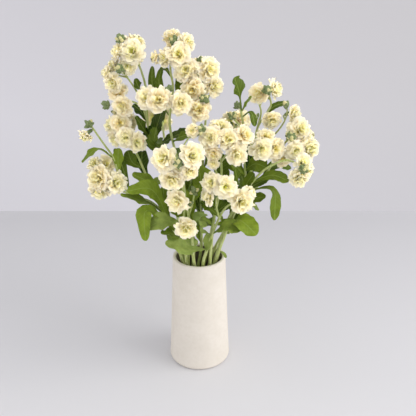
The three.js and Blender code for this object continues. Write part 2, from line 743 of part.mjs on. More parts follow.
function vase() {
  const footCurve = [0, 45, 90].map((degrees) => {
    const a = toRadians(degrees);
    return [footRadius - footRounding * (1 - Math.sin(a)), footRounding * (1 - Math.cos(a))];
  });
  return lathe([
    [0, 0],
    ...footCurve,
    [outerRadius(innerLevels[0]), innerLevels[0]],
    [outerRadius(vaseHeight - lipDepth), vaseHeight - lipDepth],
    [outerRadius(vaseHeight) - lipBevel, vaseHeight],
    [outerRadius(vaseHeight) - wall + lipBevel, vaseHeight],
    [outerRadius(vaseHeight - innerLipDepth) - wall, vaseHeight - innerLipDepth],
    ...innerLevels.map((z) => [outerRadius(z) - wall, z]),
    [floorEdge, floorThickness],
    [0, floorThickness],
  ]);
}

function water() {
  const low = floorThickness + restingGap;
  const side = innerLevels.map((z) => [outerRadius(z) - wall - restingGap, z]);
  return lathe([
    [0, low],
    [floorEdge - restingGap, low],
    ...side.reverse(),
    [outerRadius(waterLevel) - wall - restingGap, waterLevel],
    [0, waterLevel],
  ]);
}

const flowers = new THREE.Group();
flowers.name = "stock_in_vase";
flowers.add(toMesh("vase", toSolid(vase()), ceramic));
place([vase()]);

const parts = Object.entries(sprays).map(([name, spray], i) => sprayParts(name, spray, seeded(101 + i)));

for (const { name, green } of parts) {
  const [spray] = fitted(green, stemSliver);
  flowers.add(toMesh(`spray_${name}`, spray, foliage));
  place(green);
}

flowers.add(toMesh("water", fitted([water()], stemSliver)[0], clearWater));

const heads = new Map();
for (const { head, blooms } of parts) heads.set(head, [...(heads.get(head) ?? []), ...blooms]);

for (const [head, blooms] of heads) {
  if (!blooms.length) continue;
  fitted(blooms, petalSliver).forEach((body, i) => flowers.add(toMesh(`blooms_${head}_${i + 1}`, body, petal)));
  place(blooms);
}

export default flowers;
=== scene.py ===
"""A bunch of cream double stock in a tapered ceramic vase, dressed for rendering.

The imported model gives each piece's place and size. Every operator here makes one group of pieces as
surfaces worked out on grids of two parameters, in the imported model's own frame: the origin is the centre
of the vase's foot, +X is right, -Y faces the viewer and +Z is up. Lengths are in metres, and the tables of
sprays and of fill leaves are in millimetres.
"""

import bpy
import numpy as np
from bpy.props import FloatProperty, FloatVectorProperty, PointerProperty
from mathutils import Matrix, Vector


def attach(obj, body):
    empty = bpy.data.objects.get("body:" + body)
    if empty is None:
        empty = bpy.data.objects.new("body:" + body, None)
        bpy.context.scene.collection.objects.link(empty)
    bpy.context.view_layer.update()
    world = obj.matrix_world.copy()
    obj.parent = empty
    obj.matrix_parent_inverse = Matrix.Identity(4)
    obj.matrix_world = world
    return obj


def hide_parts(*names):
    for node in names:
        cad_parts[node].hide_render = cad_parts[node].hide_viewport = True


bl_info = {
    "name": "Stock in a Vase",
    "version": (1, 0, 0),
    "blender": (4, 5, 0),
    "location": "View3D > Sidebar > Stock",
    "description": "Dresses a packed bunch of double stock with petals, leaves, buds, stems and a vase",
    "category": "Object",
}

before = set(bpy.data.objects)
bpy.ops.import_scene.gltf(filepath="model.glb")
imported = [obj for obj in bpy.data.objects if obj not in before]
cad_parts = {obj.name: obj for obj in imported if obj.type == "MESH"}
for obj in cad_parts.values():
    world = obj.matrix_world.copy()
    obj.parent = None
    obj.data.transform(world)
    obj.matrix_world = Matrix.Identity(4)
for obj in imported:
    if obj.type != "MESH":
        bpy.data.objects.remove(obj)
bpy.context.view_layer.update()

MM = 0.001

# The sprays, as in the part's source, in millimetres. standing is the angle in the vase's mouth, in
# degrees from +X towards the back. stem and shoots are points of their centre lines above the mouth; a
# shoot starts on the stem. A bloom is [x, y, z, diameter, turn, rise]: the middle of its face, and the way
# it looks, in degrees to the right of the viewer and above the horizon. A bud cluster is [x, y, z, count,
# turn, rise]. A leaf is [start point, middle point, tip point, greatest width], and where there is a fifth
# value, it is the share of the leaf, from its start, that is a bare stalk. Blooms of neighbouring sprays
# that press against each other share a head.
SPRAYS = {
    "tall_left": {
        "standing": 150,
        "stem": [
            [-30, 14, 216], [-51, 15, 283], [-63, 15, 335], [-63, 15, 378], [-69, 15, 404],
            [-80, 15, 430],
        ],
        "shoots": [
            [[-63, 15, 339], [-74, 10, 377], [-83, 5, 394], [-89, 2, 404]],
            [[-63, 15, 351], [-76, 5, 365], [-93, 0, 368], [-104, 0, 364]],
        ],
        "blooms": [
            [-76, 0, 426, 31, -5, 25], [-72, 20, 435, 28, 60, 45], [-96, 9, 424, 24, -80, 20],
            [-82, 2, 409, 24, 0, 0], [-110, 6, 400, 20, -75, 10], [-101, -2, 389, 25, -20, -5],
            [-102, 14, 408, 22, -60, 40], [-76, 30, 418, 28, 150, 15], [-97, 5, 380, 26, -30, 55],
        ],
        "buds": [[-89, 14, 436, 5, -40, 50], [-90, -1, 405, 6, -10, 40], [-107, 0, 363, 4, -80, 10]],
        "leaves": [
            [[-63, 15, 372], [-72, 10, 383], [-75, 10, 393], 10],
            [[-63, 15, 337], [-71, 17, 351], [-81, 20, 359], 12],
            [[-58, 15, 312], [-70, 10, 334], [-77, 10, 347], 12],
            [[-57, 15, 307], [-52, 20, 331], [-43, 22, 356], 20],
            [[-56, 15, 302], [-33, 9, 320], [-13, 3, 330], 17],
            [[-55, 15, 297], [-61, 12, 316], [-56, 10, 334], 18],
        ],
    },
    "left_mass": {
        "standing": 175,
        "stem": [[-42, 4, 211], [-64, 0, 268], [-77, -2, 304], [-86, 0, 322], [-95, 2, 342]],
        "shoots": [],
        "blooms": [
            [-93, -9, 344, 26, 10, 25], [-107, 1, 338, 27, -50, 10], [-87, -16, 327, 27, 5, 5],
            [-102, -4, 321, 25, -35, -20], [-73, -16, 321, 27, 15, 5], [-99, 26, 332, 29, 165, 10],
            [-81, 21, 339, 26, 110, 15], [-90, -10, 364, 26, -5, 10],
        ],
        "buds": [[-99, 4, 352, 3, -20, 60]],
        "leaves": [
            [[-63, 1, 265], [-72, 12, 283], [-72, 20, 303], 14],
            [[-70, -1, 283], [-83, 4, 289], [-89, 8, 304], 14],
            [[-49, 3, 232], [-62, -5, 264], [-82, -13, 280], 15],
        ],
    },
    "far_left": {
        "standing": 200,
        "stem": [
            [-34, -6, 205], [-59, -12, 241], [-85, -18, 255], [-98, -15, 279], [-105, -8, 300],
            [-117, -3, 317], [-130, 0, 337],
        ],
        "shoots": [[[-85, -18, 255], [-100, -14, 260], [-112, -10, 267], [-118, -8, 276]]],
        "blooms": [
            [-139, -2, 324, 21, -40, -45], [-122, -30, 281, 34, -20, 15], [-99, -28, 274, 30, 30, 10],
            [-129, -12, 293, 24, -40, 50], [-114, -9, 292, 25, 10, 25], [-123, -21, 258, 30, -10, -40],
            [-117, 6, 271, 32, 175, 5],
        ],
        "buds": [[-132, 0, 338, 5, -30, 50]],
        "leaves": [
            [[-105, -8, 299], [-121, -16, 313], [-140, -25, 299], 11],
            [[-98, -15, 280], [-99, -8, 298], [-98, -5, 311], 11],
            [[-84, -17, 256], [-94, -5, 284], [-104, 0, 309], 9],
            [[-47, -9, 224], [-64, -24, 246], [-94, -38, 262], 15],
            [[-40, -8, 213], [-59, -24, 264], [-86, -35, 266], 18],
            [[-36, -7, 210], [-44, 2, 234], [-46, 8, 256], 11],
        ],
    },
    "top_centre": {
        "head": "crown",
        "standing": 105,
        "stem": [
            [-14, 14, 228], [-27, 0, 297], [-34, -8, 341], [-32, -8, 365], [-29, -5, 385], [-32, 0, 405],
            [-29, 4, 428],
        ],
        "shoots": [],
        "blooms": [
            [-31, 17, 442, 24, -160, 50], [-11, -2, 436, 25, 50, 15], [-22, -15, 425, 30, 0, 20],
            [-39, -6, 419, 24, -40, 0], [-51, 1, 419, 17, -85, 0], [-28, 25, 423, 28, 165, 10],
            [-59, -26, 378, 28, -15, 20], [-44, -37, 378, 30, -5, 15], [-19, -36, 374, 28, 15, 15],
        ],
        "buds": [[-26, 1, 436, 6, 0, 45], [-33, -18, 384, 3, -20, 30]],
        "leaves": [
            [[-31, -2, 396], [-38, 6, 404], [-45, 12, 403], 6],
            [[-33, -8, 350], [-55, 16, 382], [-55, 20, 406], 8],
            [[-33, -8, 358], [-47, 14, 388], [-42, 18, 407], 8],
            [[-32, -8, 366], [-21, 8, 379], [-22, 12, 396], 12],
            [[-28, -1, 300], [-52, -11, 318], [-49, -18, 340], 18],
            [[-31, -4, 318], [-22, -22, 329], [4, -17, 336], 15],
            [[-17, 10, 243], [-8, 0, 268], [-4, -8, 292], 16],
        ],
    },
    "upper_centre": {
        "head": "crown",
        "standing": 82,
        "stem": [[2, 20, 215], [5, 10, 279], [8, 2, 332], [10, 0, 357], [8, 0, 379], [6, 5, 400]],
        "shoots": [],
        "blooms": [
            [-14, -13, 407, 31, -10, 15], [14, -7, 407, 31, 30, 15], [3, 23, 408, 28, 180, 40],
            [-6, -18, 384, 31, -10, 0], [20, -3, 386, 29, 40, 10], [1, -26, 364, 30, 0, 20],
            [8, 29, 389, 31, 170, 5],
        ],
        "buds": [[3, 2, 411, 3, 0, 70], [7, -20, 374, 5, 20, 30]],
        "leaves": [
            [[5, 11, 274], [16, 4, 306], [22, 2, 332], 15],
            [[3, 18, 222], [20, 10, 242], [34, 2, 262], 17],
            [[4, 14, 250], [-8, 20, 270], [-20, 22, 290], 15],
            [[2, 21, 210], [-9, 8, 237], [-19, 2, 258], 16],
            [[2, 20, 215], [10, 15, 238], [10, 14, 262], 16],
            [[2, 22, 165], [-4, 21, 188], [-5, 20, 212], 16],
        ],
    },
    "back_left": {
        "standing": 127,
        "stem": [[-24, 40, 215], [-42, 60, 275], [-50, 70, 325], [-52, 73, 352]],
        "shoots": [],
        "blooms": [
            [-63, 80, 352, 29, -140, 25], [-45, 90, 345, 29, 170, 15], [-38, 72, 356, 28, 110, 40],
            [-68, 77, 329, 28, -125, 0], [-51, 91, 321, 28, 180, -10],
        ],
        "buds": [[-53, 74, 360, 4, 180, 70]],
        "leaves": [
            [[-26, 42, 221], [-52, 64, 238], [-86, 70, 236], 18],
            [[-36, 54, 256], [-30, 82, 276], [-20, 104, 278], 16],
            [[-42, 60, 274], [-72, 66, 296], [-98, 66, 300], 15],
            [[-28, 44, 228], [-26, 34, 256], [-18, 30, 284], 18],
        ],
    },
    "back_right": {
        "standing": 60,
        "stem": [[24, 40, 215], [40, 58, 270], [48, 64, 310], [51, 68, 341]],
        "shoots": [[[40, 58, 270], [60, 64, 288], [78, 62, 298]]],
        "blooms": [
            [60, 74, 330, 28, 140, 25], [41, 82, 324, 30, -170, 15], [56, 55, 335, 26, 60, 50],
            [54, 85, 302, 30, 170, -10], [90, 66, 304, 28, 120, 20], [80, 77, 287, 28, 150, -10],
        ],
        "buds": [[51, 68, 344, 3, 180, 70], [81, 60, 304, 3, 90, 60]],
        "leaves": [
            [[28, 45, 227], [52, 66, 240], [84, 76, 232], 18],
            [[34, 52, 250], [22, 80, 268], [4, 98, 268], 16],
            [[26, 44, 222], [30, 30, 250], [34, 22, 280], 18],
        ],
    },
    "right": {
        "standing": 38,
        "stem": [[49, 18, 213], [79, 14, 257], [98, 3, 298], [105, -8, 317], [109, -14, 326]],
        "shoots": [[[98, 3, 298], [112, 5, 306], [122, 5, 316], [126, 3, 325]]],
        "blooms": [
            [124, -11, 337, 31, 20, 25], [136, -15, 313, 33, 35, 0], [117, -25, 313, 27, 5, 0],
            [103, -15, 301, 26, 5, -5], [138, 7, 323, 27, 80, 15], [126, 23, 315, 30, 150, 10],
        ],
        "buds": [[110, -19, 329, 7, 0, 40]],
        "leaves": [
            [[60, 17, 228], [84, 42, 250], [112, 46, 250], 17],
            [[79, 14, 258], [98, 28, 276], [122, 34, 272], 15],
            [[52, 18, 217], [68, 4, 238], [86, -4, 246], 15],
            [[54, 18, 221], [60, 24, 246], [55, 26, 266], 16],
        ],
    },
    "right_upper": {
        "standing": 15,
        "stem": [
            [44, 7, 218], [63, 6, 262], [71, 3, 304], [73, 9, 332], [82, 12, 347], [89, 12, 361],
            [86, 10, 372],
        ],
        "shoots": [
            [[73, 9, 332], [77, 10, 352], [74, 10, 363]],
            [[71, 3, 302], [80, 6, 310], [92, 7, 322], [102, 8, 334], [108, 10, 346], [109, 10, 356]],
            [[69, 3, 296], [73, -12, 308], [77, -20, 314]],
        ],
        "blooms": [
            [75, -39, 320, 29, 5, 10], [93, -27, 316, 28, 20, 0], [81, -22, 331, 24, 0, 45],
            [72, 7, 376, 27, -30, 20], [95, 15, 380, 28, 70, 15], [90, 2, 343, 25, 0, -15],
            [119, 8, 350, 25, 55, -5],
        ],
        "buds": [[83, 2, 379, 7, -10, 50], [108, 11, 358, 3, -40, 60], [72, 8, 345, 3, -40, 30]],
        "leaves": [
            [[80, 11, 344], [92, 18, 356], [108, 24, 361], 8],
            [[66, 5, 280], [82, 22, 296], [92, 34, 316], 14],
            [[60, 6, 252], [66, 22, 280], [62, 28, 306], 16],
            [[64, 6, 266], [48, 10, 282], [38, 13, 298], 16],
        ],
    },
    "right_leafy": {
        "standing": -8,
        "stem": [
            [38, -4, 213], [53, -12, 247], [59, -12, 263], [57, -8, 294], [55, 3, 337], [52, 5, 356],
        ],
        "shoots": [[[55, 3, 334], [46, 0, 343], [42, -1, 348]]],
        "blooms": [],
        "buds": [[42, -1, 349, 5, -30, 50]],
        "leaves": [
            [[52, 5, 352], [50, 5, 373], [43, 1, 396], 21, 0.38],
            [[52, 5, 354], [59, 1, 366], [64, -3, 374], 8],
            [[54, 4, 348], [63, 1, 354], [69, -4, 338], 8],
            [[57, -9, 282], [70, -16, 294], [83, -21, 291], 20],
            [[57, -9, 276], [46, -14, 290], [35, -16, 304], 18],
            [[58, -12, 256], [48, -26, 276], [44, -32, 294], 11],
            [[45, -8, 229], [60, -4, 236], [78, 2, 226], 14],
            [[52, -12, 245], [42, -14, 262], [38, -14, 278], 14],
            [[36, -3, 205], [24, -4, 224], [20, 0, 243], 16],
            [[32, -4, 188], [43, -9, 202], [55, -12, 212], 17],
        ],
    },
    "arching": {
        "standing": -30,
        "stem": [
            [42, -20, 222], [60, -27, 265], [77, -30, 289], [93, -31, 300], [106, -31, 304],
            [118, -33, 300], [123, -35, 295],
        ],
        "shoots": [],
        "blooms": [[125, -38, 304, 24, 10, 30], [121, -41, 283, 27, 0, -20], [134, -32, 291, 21, 60, 0]],
        "buds": [[124, -42, 297, 6, 10, 10]],
        "leaves": [
            [[66, -28, 274], [89, -32, 285], [109, -36, 279], 14],
            [[60, -27, 262], [91, -22, 263], [96, -26, 223], 13],
            [[60, -27, 266], [78, -14, 270], [88, -14, 275], 11],
            [[56, -26, 256], [60, -27, 273], [68, -29, 287], 12],
            [[37, -19, 210], [51, -42, 230], [71, -56, 217], 23],
        ],
    },
    "centre_right": {
        "standing": -55,
        "stem": [[19, -24, 220], [27, -30, 271], [27, -38, 307], [21, -43, 326], [11, -50, 339]],
        "shoots": [
            [[27, -37, 303], [37, -42, 320], [46, -44, 334]],
            [[27, -31, 275], [21, -46, 296], [18, -53, 304]],
        ],
        "blooms": [
            [15, -61, 341, 28, -10, 20], [18, -63, 321, 22, -5, -25], [35, -63, 339, 27, 5, 20],
            [45, -66, 322, 28, 10, 0], [26, -45, 349, 27, 0, 45], [54, -57, 343, 25, 30, 30],
            [29, -24, 341, 30, 160, 25], [18, -61, 310, 15, -10, 10],
        ],
        "buds": [[5, -56, 347, 5, -40, 40]],
        "leaves": [
            [[26, -29, 262], [28, -22, 288], [30, -25, 310], 16],
            [[22, -27, 240], [15, -38, 255], [14, -45, 268], 14],
            [[20, -25, 226], [10, -22, 252], [8, -20, 276], 14],
            [[26, -29, 263], [8, -27, 284], [0, -26, 296], 13],
            [[20, -25, 229], [24, -18, 248], [32, -14, 266], 16],
            [[18, -24, 215], [6, -28, 227], [-3, -32, 234], 13],
        ],
    },
    "low_right": {
        "standing": -80,
        "stem": [[20, -36, 216], [32, -52, 250], [40, -62, 262]],
        "shoots": [[[26, -44, 233], [22, -58, 256], [22, -66, 276]]],
        "blooms": [
            [32, -84, 290, 29, 5, 15], [15, -77, 293, 25, -20, 20], [10, -75, 275, 24, -70, 0],
            [51, -81, 270, 31, 10, 0], [61, -67, 277, 20, 50, 30],
        ],
        "buds": [[22, -70, 279, 3, 0, 30]],
        "leaves": [
            [[18, -34, 208], [37, -46, 224], [52, -54, 222], 20],
            [[17, -33, 204], [6, -42, 216], [0, -50, 234], 13],
            [[10, -30, 184], [-14, -54, 198], [-40, -60, 208], 18],
        ],
    },
    "front_centre": {
        "standing": -105,
        "stem": [[-9, -40, 217], [-15, -64, 268], [-20, -82, 305], [-22, -90, 317]],
        "shoots": [
            [[-14, -60, 260], [-17, -55, 300], [-17, -53, 325], [-9, -55, 340]],
            [[-12, -50, 238], [-6, -57, 260], [-4, -62, 274]],
        ],
        "blooms": [
            [-37, -96, 327, 31, -25, 20], [-4, -99, 332, 30, 20, 20], [-8, -98, 313, 23, 10, -10],
            [-27, -95, 302, 30, -5, -15], [-6, -60, 348, 17, -20, 20],
        ],
        "buds": [[-20, -98, 323, 5, 10, 35], [-4, -63, 276, 5, 0, 50]],
        "leaves": [
            [[-13, -54, 248], [3, -44, 280], [0, -42, 302], 14],
            [[-8, -36, 207], [-13, -46, 256], [-24, -48, 278], 14],
            [[-10, -43, 224], [2, -52, 238], [2, -62, 250], 14],
        ],
    },
    "low_left": {
        "standing": -132,
        "stem": [[-16, -34, 209], [-17, -50, 240], [-15, -60, 254]],
        "shoots": [],
        "blooms": [[-24, -80, 271, 29, -15, 10], [-14, -76, 234, 29, 0, 0]],
        "buds": [[-12, -68, 262, 3, 30, 20]],
        "leaves": [
            [[-16, -38, 219], [-41, -45, 231], [-62, -50, 224], 18],
            [[-19, -28, 200], [-63, -42, 243], [-64, -58, 210], 16],
            [[-18, -27, 195], [-32, -42, 211], [-46, -47, 215], 18],
        ],
    },
}

# Small leaves that fill the bunch round the mouth. The solids leave them out, because they would meet the
# stems that they grow between. As a leaf in SPRAYS, with how light it is, from 0, dark as painted shade
# deep in the bunch, to 1, young and pale.
FILL_LEAVES = {
    "front_centre": [
        [[-7, -28, 170], [-9, -32, 186], [-15, -33, 204], 16, 0.95],
        [[-10, -44, 226], [-20, -38, 238], [-34, -36, 240], 12, 0.4],
    ],
    "low_right": [
        [[9, -27, 176], [11, -31, 190], [13, -30, 207], 10, 0.9],
        [[22, -45, 236], [12, -38, 246], [3, -34, 252], 12, 0.3],
    ],
    "centre_right": [
        [[19, -24, 216], [33, -28, 219], [51, -31, 212], 17, 0.65],
        [[20, -25, 229], [31, -20, 238], [44, -17, 240], 14, 0.2],
    ],
    "back_right": [
        [[19, 33, 197], [21, 30, 218], [27, 32, 240], 17, 0.1],
        [[24, 40, 215], [36, 34, 222], [51, 32, 236], 18, 0.15],
    ],
    "upper_centre": [
        [[2, 21, 210], [0, 17, 224], [-5, 15, 240], 15, 0.1],
        [[2, 22, 194], [10, 14, 200], [22, 8, 206], 14, 0.3],
    ],
    "low_left": [
        [[-16, -36, 214], [-3, -40, 225], [11, -39, 222], 11, 0.9],
        [[-15, -25, 180], [-30, -26, 190], [-40, -24, 205], 13, 0.8],
    ],
    "top_centre": [[[-13, 15, 222], [-13, 12, 243], [-10, 14, 264], 17, 0.25]],
    "arching": [[[26, -9, 172], [31, -14, 171], [36, -20, 166], 4, 0.9]],
    "right_leafy": [[[38, -4, 205], [46, 2, 216], [52, 4, 232], 14, 0.2]],
}

# The same driving dimensions as in the part's source.
VASE_HEIGHT = 160 * MM
FOOT_RADIUS = 42.5 * MM
MOUTH_RADIUS = 35.5 * MM
WALL = 4.5 * MM
FLOOR_THICKNESS = 8 * MM
FOOT_ROUNDING = 5 * MM
FLOOR_FILLET = 7 * MM
WATER_LEVEL = 112 * MM
RESTING_GAP = 0.45 * MM  # between the vase's inside and what it holds
STANDING_RADIUS = 25 * MM  # the ring in the mouth that the stems pass through
SPIRAL = 100  # degrees that each stem turns round the vase from mouth to foot
CALYX_LENGTH = 7 * MM
CALYX_GAP = 0.55 * MM
STALK_DROP = 9 * MM  # how far below its calyx a stalk leaves the stem
STALK_BEND = 0.4  # how far before the calyx a stalk bends, as a share of its length
FACE_HEIGHT = 0.6  # of a bloom's face above its base, as a share of its radius
BUD_LENGTH = 9 * MM
FACES_BACK = 45 * MM  # a leaf whose tip lies further back than this is turned away from the viewer
LEAF_TILT = 0.45  # of a blade's upper side towards the viewer
LEAF_ROLL = 0.7  # radians that a blade may be turned about its midrib

# The first seed of each group's random numbers, to which a spray adds its place in the table. PART_SEED is
# the part's own, with which the part draws each bloom's turn and then the sizes of eight petals.
PART_SEED, LEAF_SEED, BUD_SEED, BLOOM_SEED = 101, 300, 500, 700
PETALS_DRAWN = 8

# The whorls of a double bloom from the outside in. reach is how far a petal's tip lies from the bloom's
# axis and half_width the petal's half width, as shares of the bloom's radius. foot and tip are the petal's
# rise above the bloom's plane, in degrees, at its two ends, first is the angle of the first petal, and cup
# how much it is hollowed.
WHORLS = (
    {"petals": 8, "reach": 1.2, "first": 45, "foot": 42, "tip": -22, "half_width": 0.34, "cup": -0.15},
    {"petals": 8, "reach": 1.04, "first": 22, "foot": 52, "tip": -4, "half_width": 0.33, "cup": 0.10},
    {"petals": 7, "reach": 0.84, "first": 20, "foot": 62, "tip": 20, "half_width": 0.30, "cup": 0.25},
    {"petals": 7, "reach": 0.60, "first": 50, "foot": 70, "tip": 38, "half_width": 0.26, "cup": 0.35},
    {"petals": 6, "reach": 0.42, "first": 10, "foot": 78, "tip": 52, "half_width": 0.22, "cup": 0.45},
    {"petals": 4, "reach": 0.22, "first": 70, "foot": 84, "tip": 66, "half_width": 0.17, "cup": 0.50},
)


def linear(hex_colour):
    """The linear RGBA of an sRGB hex colour."""
    srgb = np.array([int(hex_colour[k : k + 2], 16) for k in (1, 3, 5)]) / 255
    rgb = np.where(srgb <= 0.04045, srgb / 12.92, ((srgb + 0.055) / 1.055) ** 2.4)
    return (*rgb.tolist(), 1.0)


def length(name, description, millimetres):
    """A size that the user can change."""
    default = millimetres * MM
    return FloatProperty(
        name=name, description=description, default=default, min=0.0, subtype="DISTANCE", unit="LENGTH"
    )


def share(name, description, default):
    """A share between none and all that the user can change."""
    return FloatProperty(
        name=name, description=description, default=default, min=0.0, max=1.0, subtype="FACTOR"
    )


def colour(name, description, hex_colour):
    """A colour that the user can change."""
    default = linear(hex_colour)[:3]
    return FloatVectorProperty(
        name=name, description=description, default=default, size=3, min=0.0, max=1.0, subtype="COLOR"
    )


# Arrays


def seeded(seed):
    """The part's own random numbers, so that blooms and leaves turn here as they do there."""
    state = seed

    def draw():
        nonlocal state
        state = ((state ^ (state >> 15)) * 2246822519 + 374761393) & 0xFFFFFFFF
        return (state ^ (state >> 13)) / 2**32

    return draw


def unit(vectors):
    """Vectors brought to length one."""
    return vectors / np.linalg.norm(vectors, axis=-1, keepdims=True)


def facing(turn, rise):
    """The direction turn degrees to the viewer's right of -Y and rise degrees above the horizon."""
    t, r = np.radians(turn), np.radians(rise)
    return np.array([np.sin(t) * np.cos(r), -np.cos(t) * np.cos(r), np.sin(r)])


def upright(direction):
    """The matrix that turns +Z to a direction the shortest way: I + K + K K / (1 + cosine)."""
    x, y, z = direction
    k = np.array([[0, 0, x], [0, 0, y], [-x, -y, 0]])
    return np.eye(3) + k + k @ k / (1 + z)


def about_z(angle):
    """The matrix that turns by an angle about +Z."""
    c, s = np.cos(angle), np.sin(angle)
    return np.array([[c, -s, 0], [s, c, 0], [0, 0, 1]])


def smooth(x):
    """Rises from 0 to 1 without a corner: 3 x x - 2 x x x between 0 and 1."""
    x = np.clip(x, 0, 1)
    return x * x * (3 - 2 * x)


def spline(points, steps=16):
    """A centripetal Catmull-Rom curve. Each span is the cubic whose end slopes come from the neighbouring
    points, weighted by the square roots of the distances; the ends are continued straight."""
    p = np.asarray(points, float)
    p = np.vstack([2 * p[0] - p[1], p, 2 * p[-1] - p[-2]])
    d = np.sqrt(np.linalg.norm(np.diff(p, axis=0), axis=1))[:, None]
    before, span, after = d[:-2], d[1:-1], d[2:]
    p0, p1, p2, p3 = p[:-3], p[1:-2], p[2:-1], p[3:]
    leaving = span * ((p1 - p0) / before - (p2 - p0) / (before + span) + (p2 - p1) / span)
    arriving = span * ((p2 - p1) / span - (p3 - p1) / (span + after) + (p3 - p2) / after)
    q = np.linspace(0, 1, steps, endpoint=False)[:, None, None]
    square = 3 * (p2 - p1) - 2 * leaving - arriving
    cube = 2 * (p1 - p2) + leaving + arriving
    curve = p1 + q * leaving + q**2 * square + q**3 * cube
    return np.vstack([curve.transpose(1, 0, 2).reshape(-1, 3), p2[-1:]])


def bezier(start, control, end, q):
    """The quadratic curve from start to end that leaves and arrives along the lines to its control
    point."""
    q = q[:, None]
    return (1 - q) ** 2 * start + 2 * q * (1 - q) * control + q**2 * end


def evenly(path, count):
    """The same path as a number of points at equal distances along it."""
    far = np.concatenate([[0], np.cumsum(np.linalg.norm(np.diff(path, axis=0), axis=1))])
    at = np.linspace(0, far[-1], count)
    return np.stack([np.interp(at, far, path[:, k]) for k in range(3)], axis=1)


def nearest(points, target):
    """The one of some points that lies nearest to a target."""
    return points[np.argmin(np.linalg.norm(points - target, axis=1))]


def running_sum(slopes):
    """What slopes at equal steps add up to at each step along axis 1: from 0, by the mean of each two."""
    means = (slopes[:, 1:] + slopes[:, :-1]) / 2
    return np.concatenate([np.zeros_like(slopes[:, :1]), np.cumsum(means, axis=1)], axis=1)


# Skins: each is (points, faces, values). A face has four corners, or three where its last is -1, and the
# values are numbers at each point that the materials read.


def repeated(points, faces, values):
    """One skin from k alike ones: points are (k, p, 3), faces those of the first, each value (k, p)."""
    k, p, _ = points.shape
    offsets = (np.arange(k) * p)[:, None, None]
    faces = np.where(faces < 0, -1, faces + offsets).reshape(-1, 4)
    return points.reshape(-1, 3), faces, {name: value.reshape(-1) for name, value in values.items()}


def loft(rings, **values):
    """Closed tubes over rings, (k, m, n, 3): k tubes of m rings of n points, each end closed by triangles
    to a pole, which is the mean of its last ring."""
    k, m, n, _ = rings.shape
    poles = rings[:, [0, -1]].mean(axis=2)
    points = np.concatenate([rings.reshape(k, m * n, 3), poles], axis=1)
    i, j = np.mgrid[: m - 1, :n]
    after = (j + 1) % n
    low, high = i * n, (i + 1) * n
    sides = np.stack([low + j, low + after, high + after, high + j], axis=-1).reshape(-1, 4)
    j, after = j[0], after[0]
    none = np.full(n, -1)
    foot = np.stack([np.full(n, m * n), after, j, none], axis=-1)
    head = np.stack([np.full(n, m * n + 1), (m - 1) * n + j, (m - 1) * n + after, none], axis=-1)
    spread = {}
    for name, value in values.items():
        value = np.broadcast_to(value, (k, m, n))
        spread[name] = np.concatenate([value.reshape(k, m * n), value[:, [0, -1], 0]], axis=1)
    return repeated(points, np.concatenate([sides, foot, head]), spread)


def shell(middle, thickness, **values):
    """Closed blades over middle surfaces, (k, m, n, 3), that run along and across: an upper and a lower
    face half the thickness off the middle, along its normal, which meet at the margin."""
    k, m, n, _ = middle.shape
    normal = unit(np.cross(np.gradient(middle, axis=1), np.gradient(middle, axis=2)))
    lift = np.broadcast_to(thickness, (k, m, n))[..., None] / 2 * normal
    within = (slice(None), slice(1, -1), slice(1, -1))
    upper = middle.copy()
    upper[within] += lift[within]
    lower = middle[within] - lift[within]
    points = np.concatenate([upper.reshape(k, m * n, 3), lower.reshape(k, -1, 3)], axis=1)
    top = np.arange(m * n).reshape(m, n)
    under = top.copy()
    under[1:-1, 1:-1] = m * n + np.arange((m - 2) * (n - 2)).reshape(m - 2, n - 2)
    faces = [
        np.stack([top[:-1, :-1], top[1:, :-1], top[1:, 1:], top[:-1, 1:]], axis=-1).reshape(-1, 4),
        np.stack([under[:-1, :-1], under[:-1, 1:], under[1:, 1:], under[1:, :-1]], axis=-1).reshape(-1, 4),
    ]
    spread = {}
    for name, value in values.items():
        value = np.broadcast_to(value, (k, m, n))
        spread[name] = np.concatenate([value.reshape(k, m * n), value[within].reshape(k, -1)], axis=1)
    return repeated(points, np.concatenate(faces), spread)


def swept(path, radii, sides):
    """Rings round a path, square to it: centre + radius (cos a side + sin a top)."""
    along = unit(np.gradient(path, axis=0))
    steady = np.eye(3)[np.argmin(np.abs(along).max(axis=0))]
    side = unit(np.cross(along, steady))
    top = np.cross(along, side)
    a = np.linspace(0, 2 * np.pi, sides, endpoint=False)[None, :, None]
    around = np.cos(a) * side[:, None] + np.sin(a) * top[:, None]
    return path[:, None] + np.asarray(radii)[:, None, None] * around


def turned(profile, segments):
    """Rings of a turned body: the profile's (radius, height) points carried round the Z axis."""
    a = np.linspace(0, 2 * np.pi, segments, endpoint=False)
    radius, height = np.array(profile).T[:, :, None]
    return np.stack([radius * np.cos(a), radius * np.sin(a), height + 0 * a], axis=-1)


def arc(middle, radius, start, end, steps):
    """Points of a circle's arc in the plane of a turned profile, from one angle to another in degrees."""
    a = np.radians(np.linspace(start, end, steps))
    return [(middle[0] + radius * c, middle[1] + radius * s) for c, s in zip(np.cos(a), np.sin(a))]


SHARP_EDGE = 75  # degrees: edges that turn more than this stay crisp


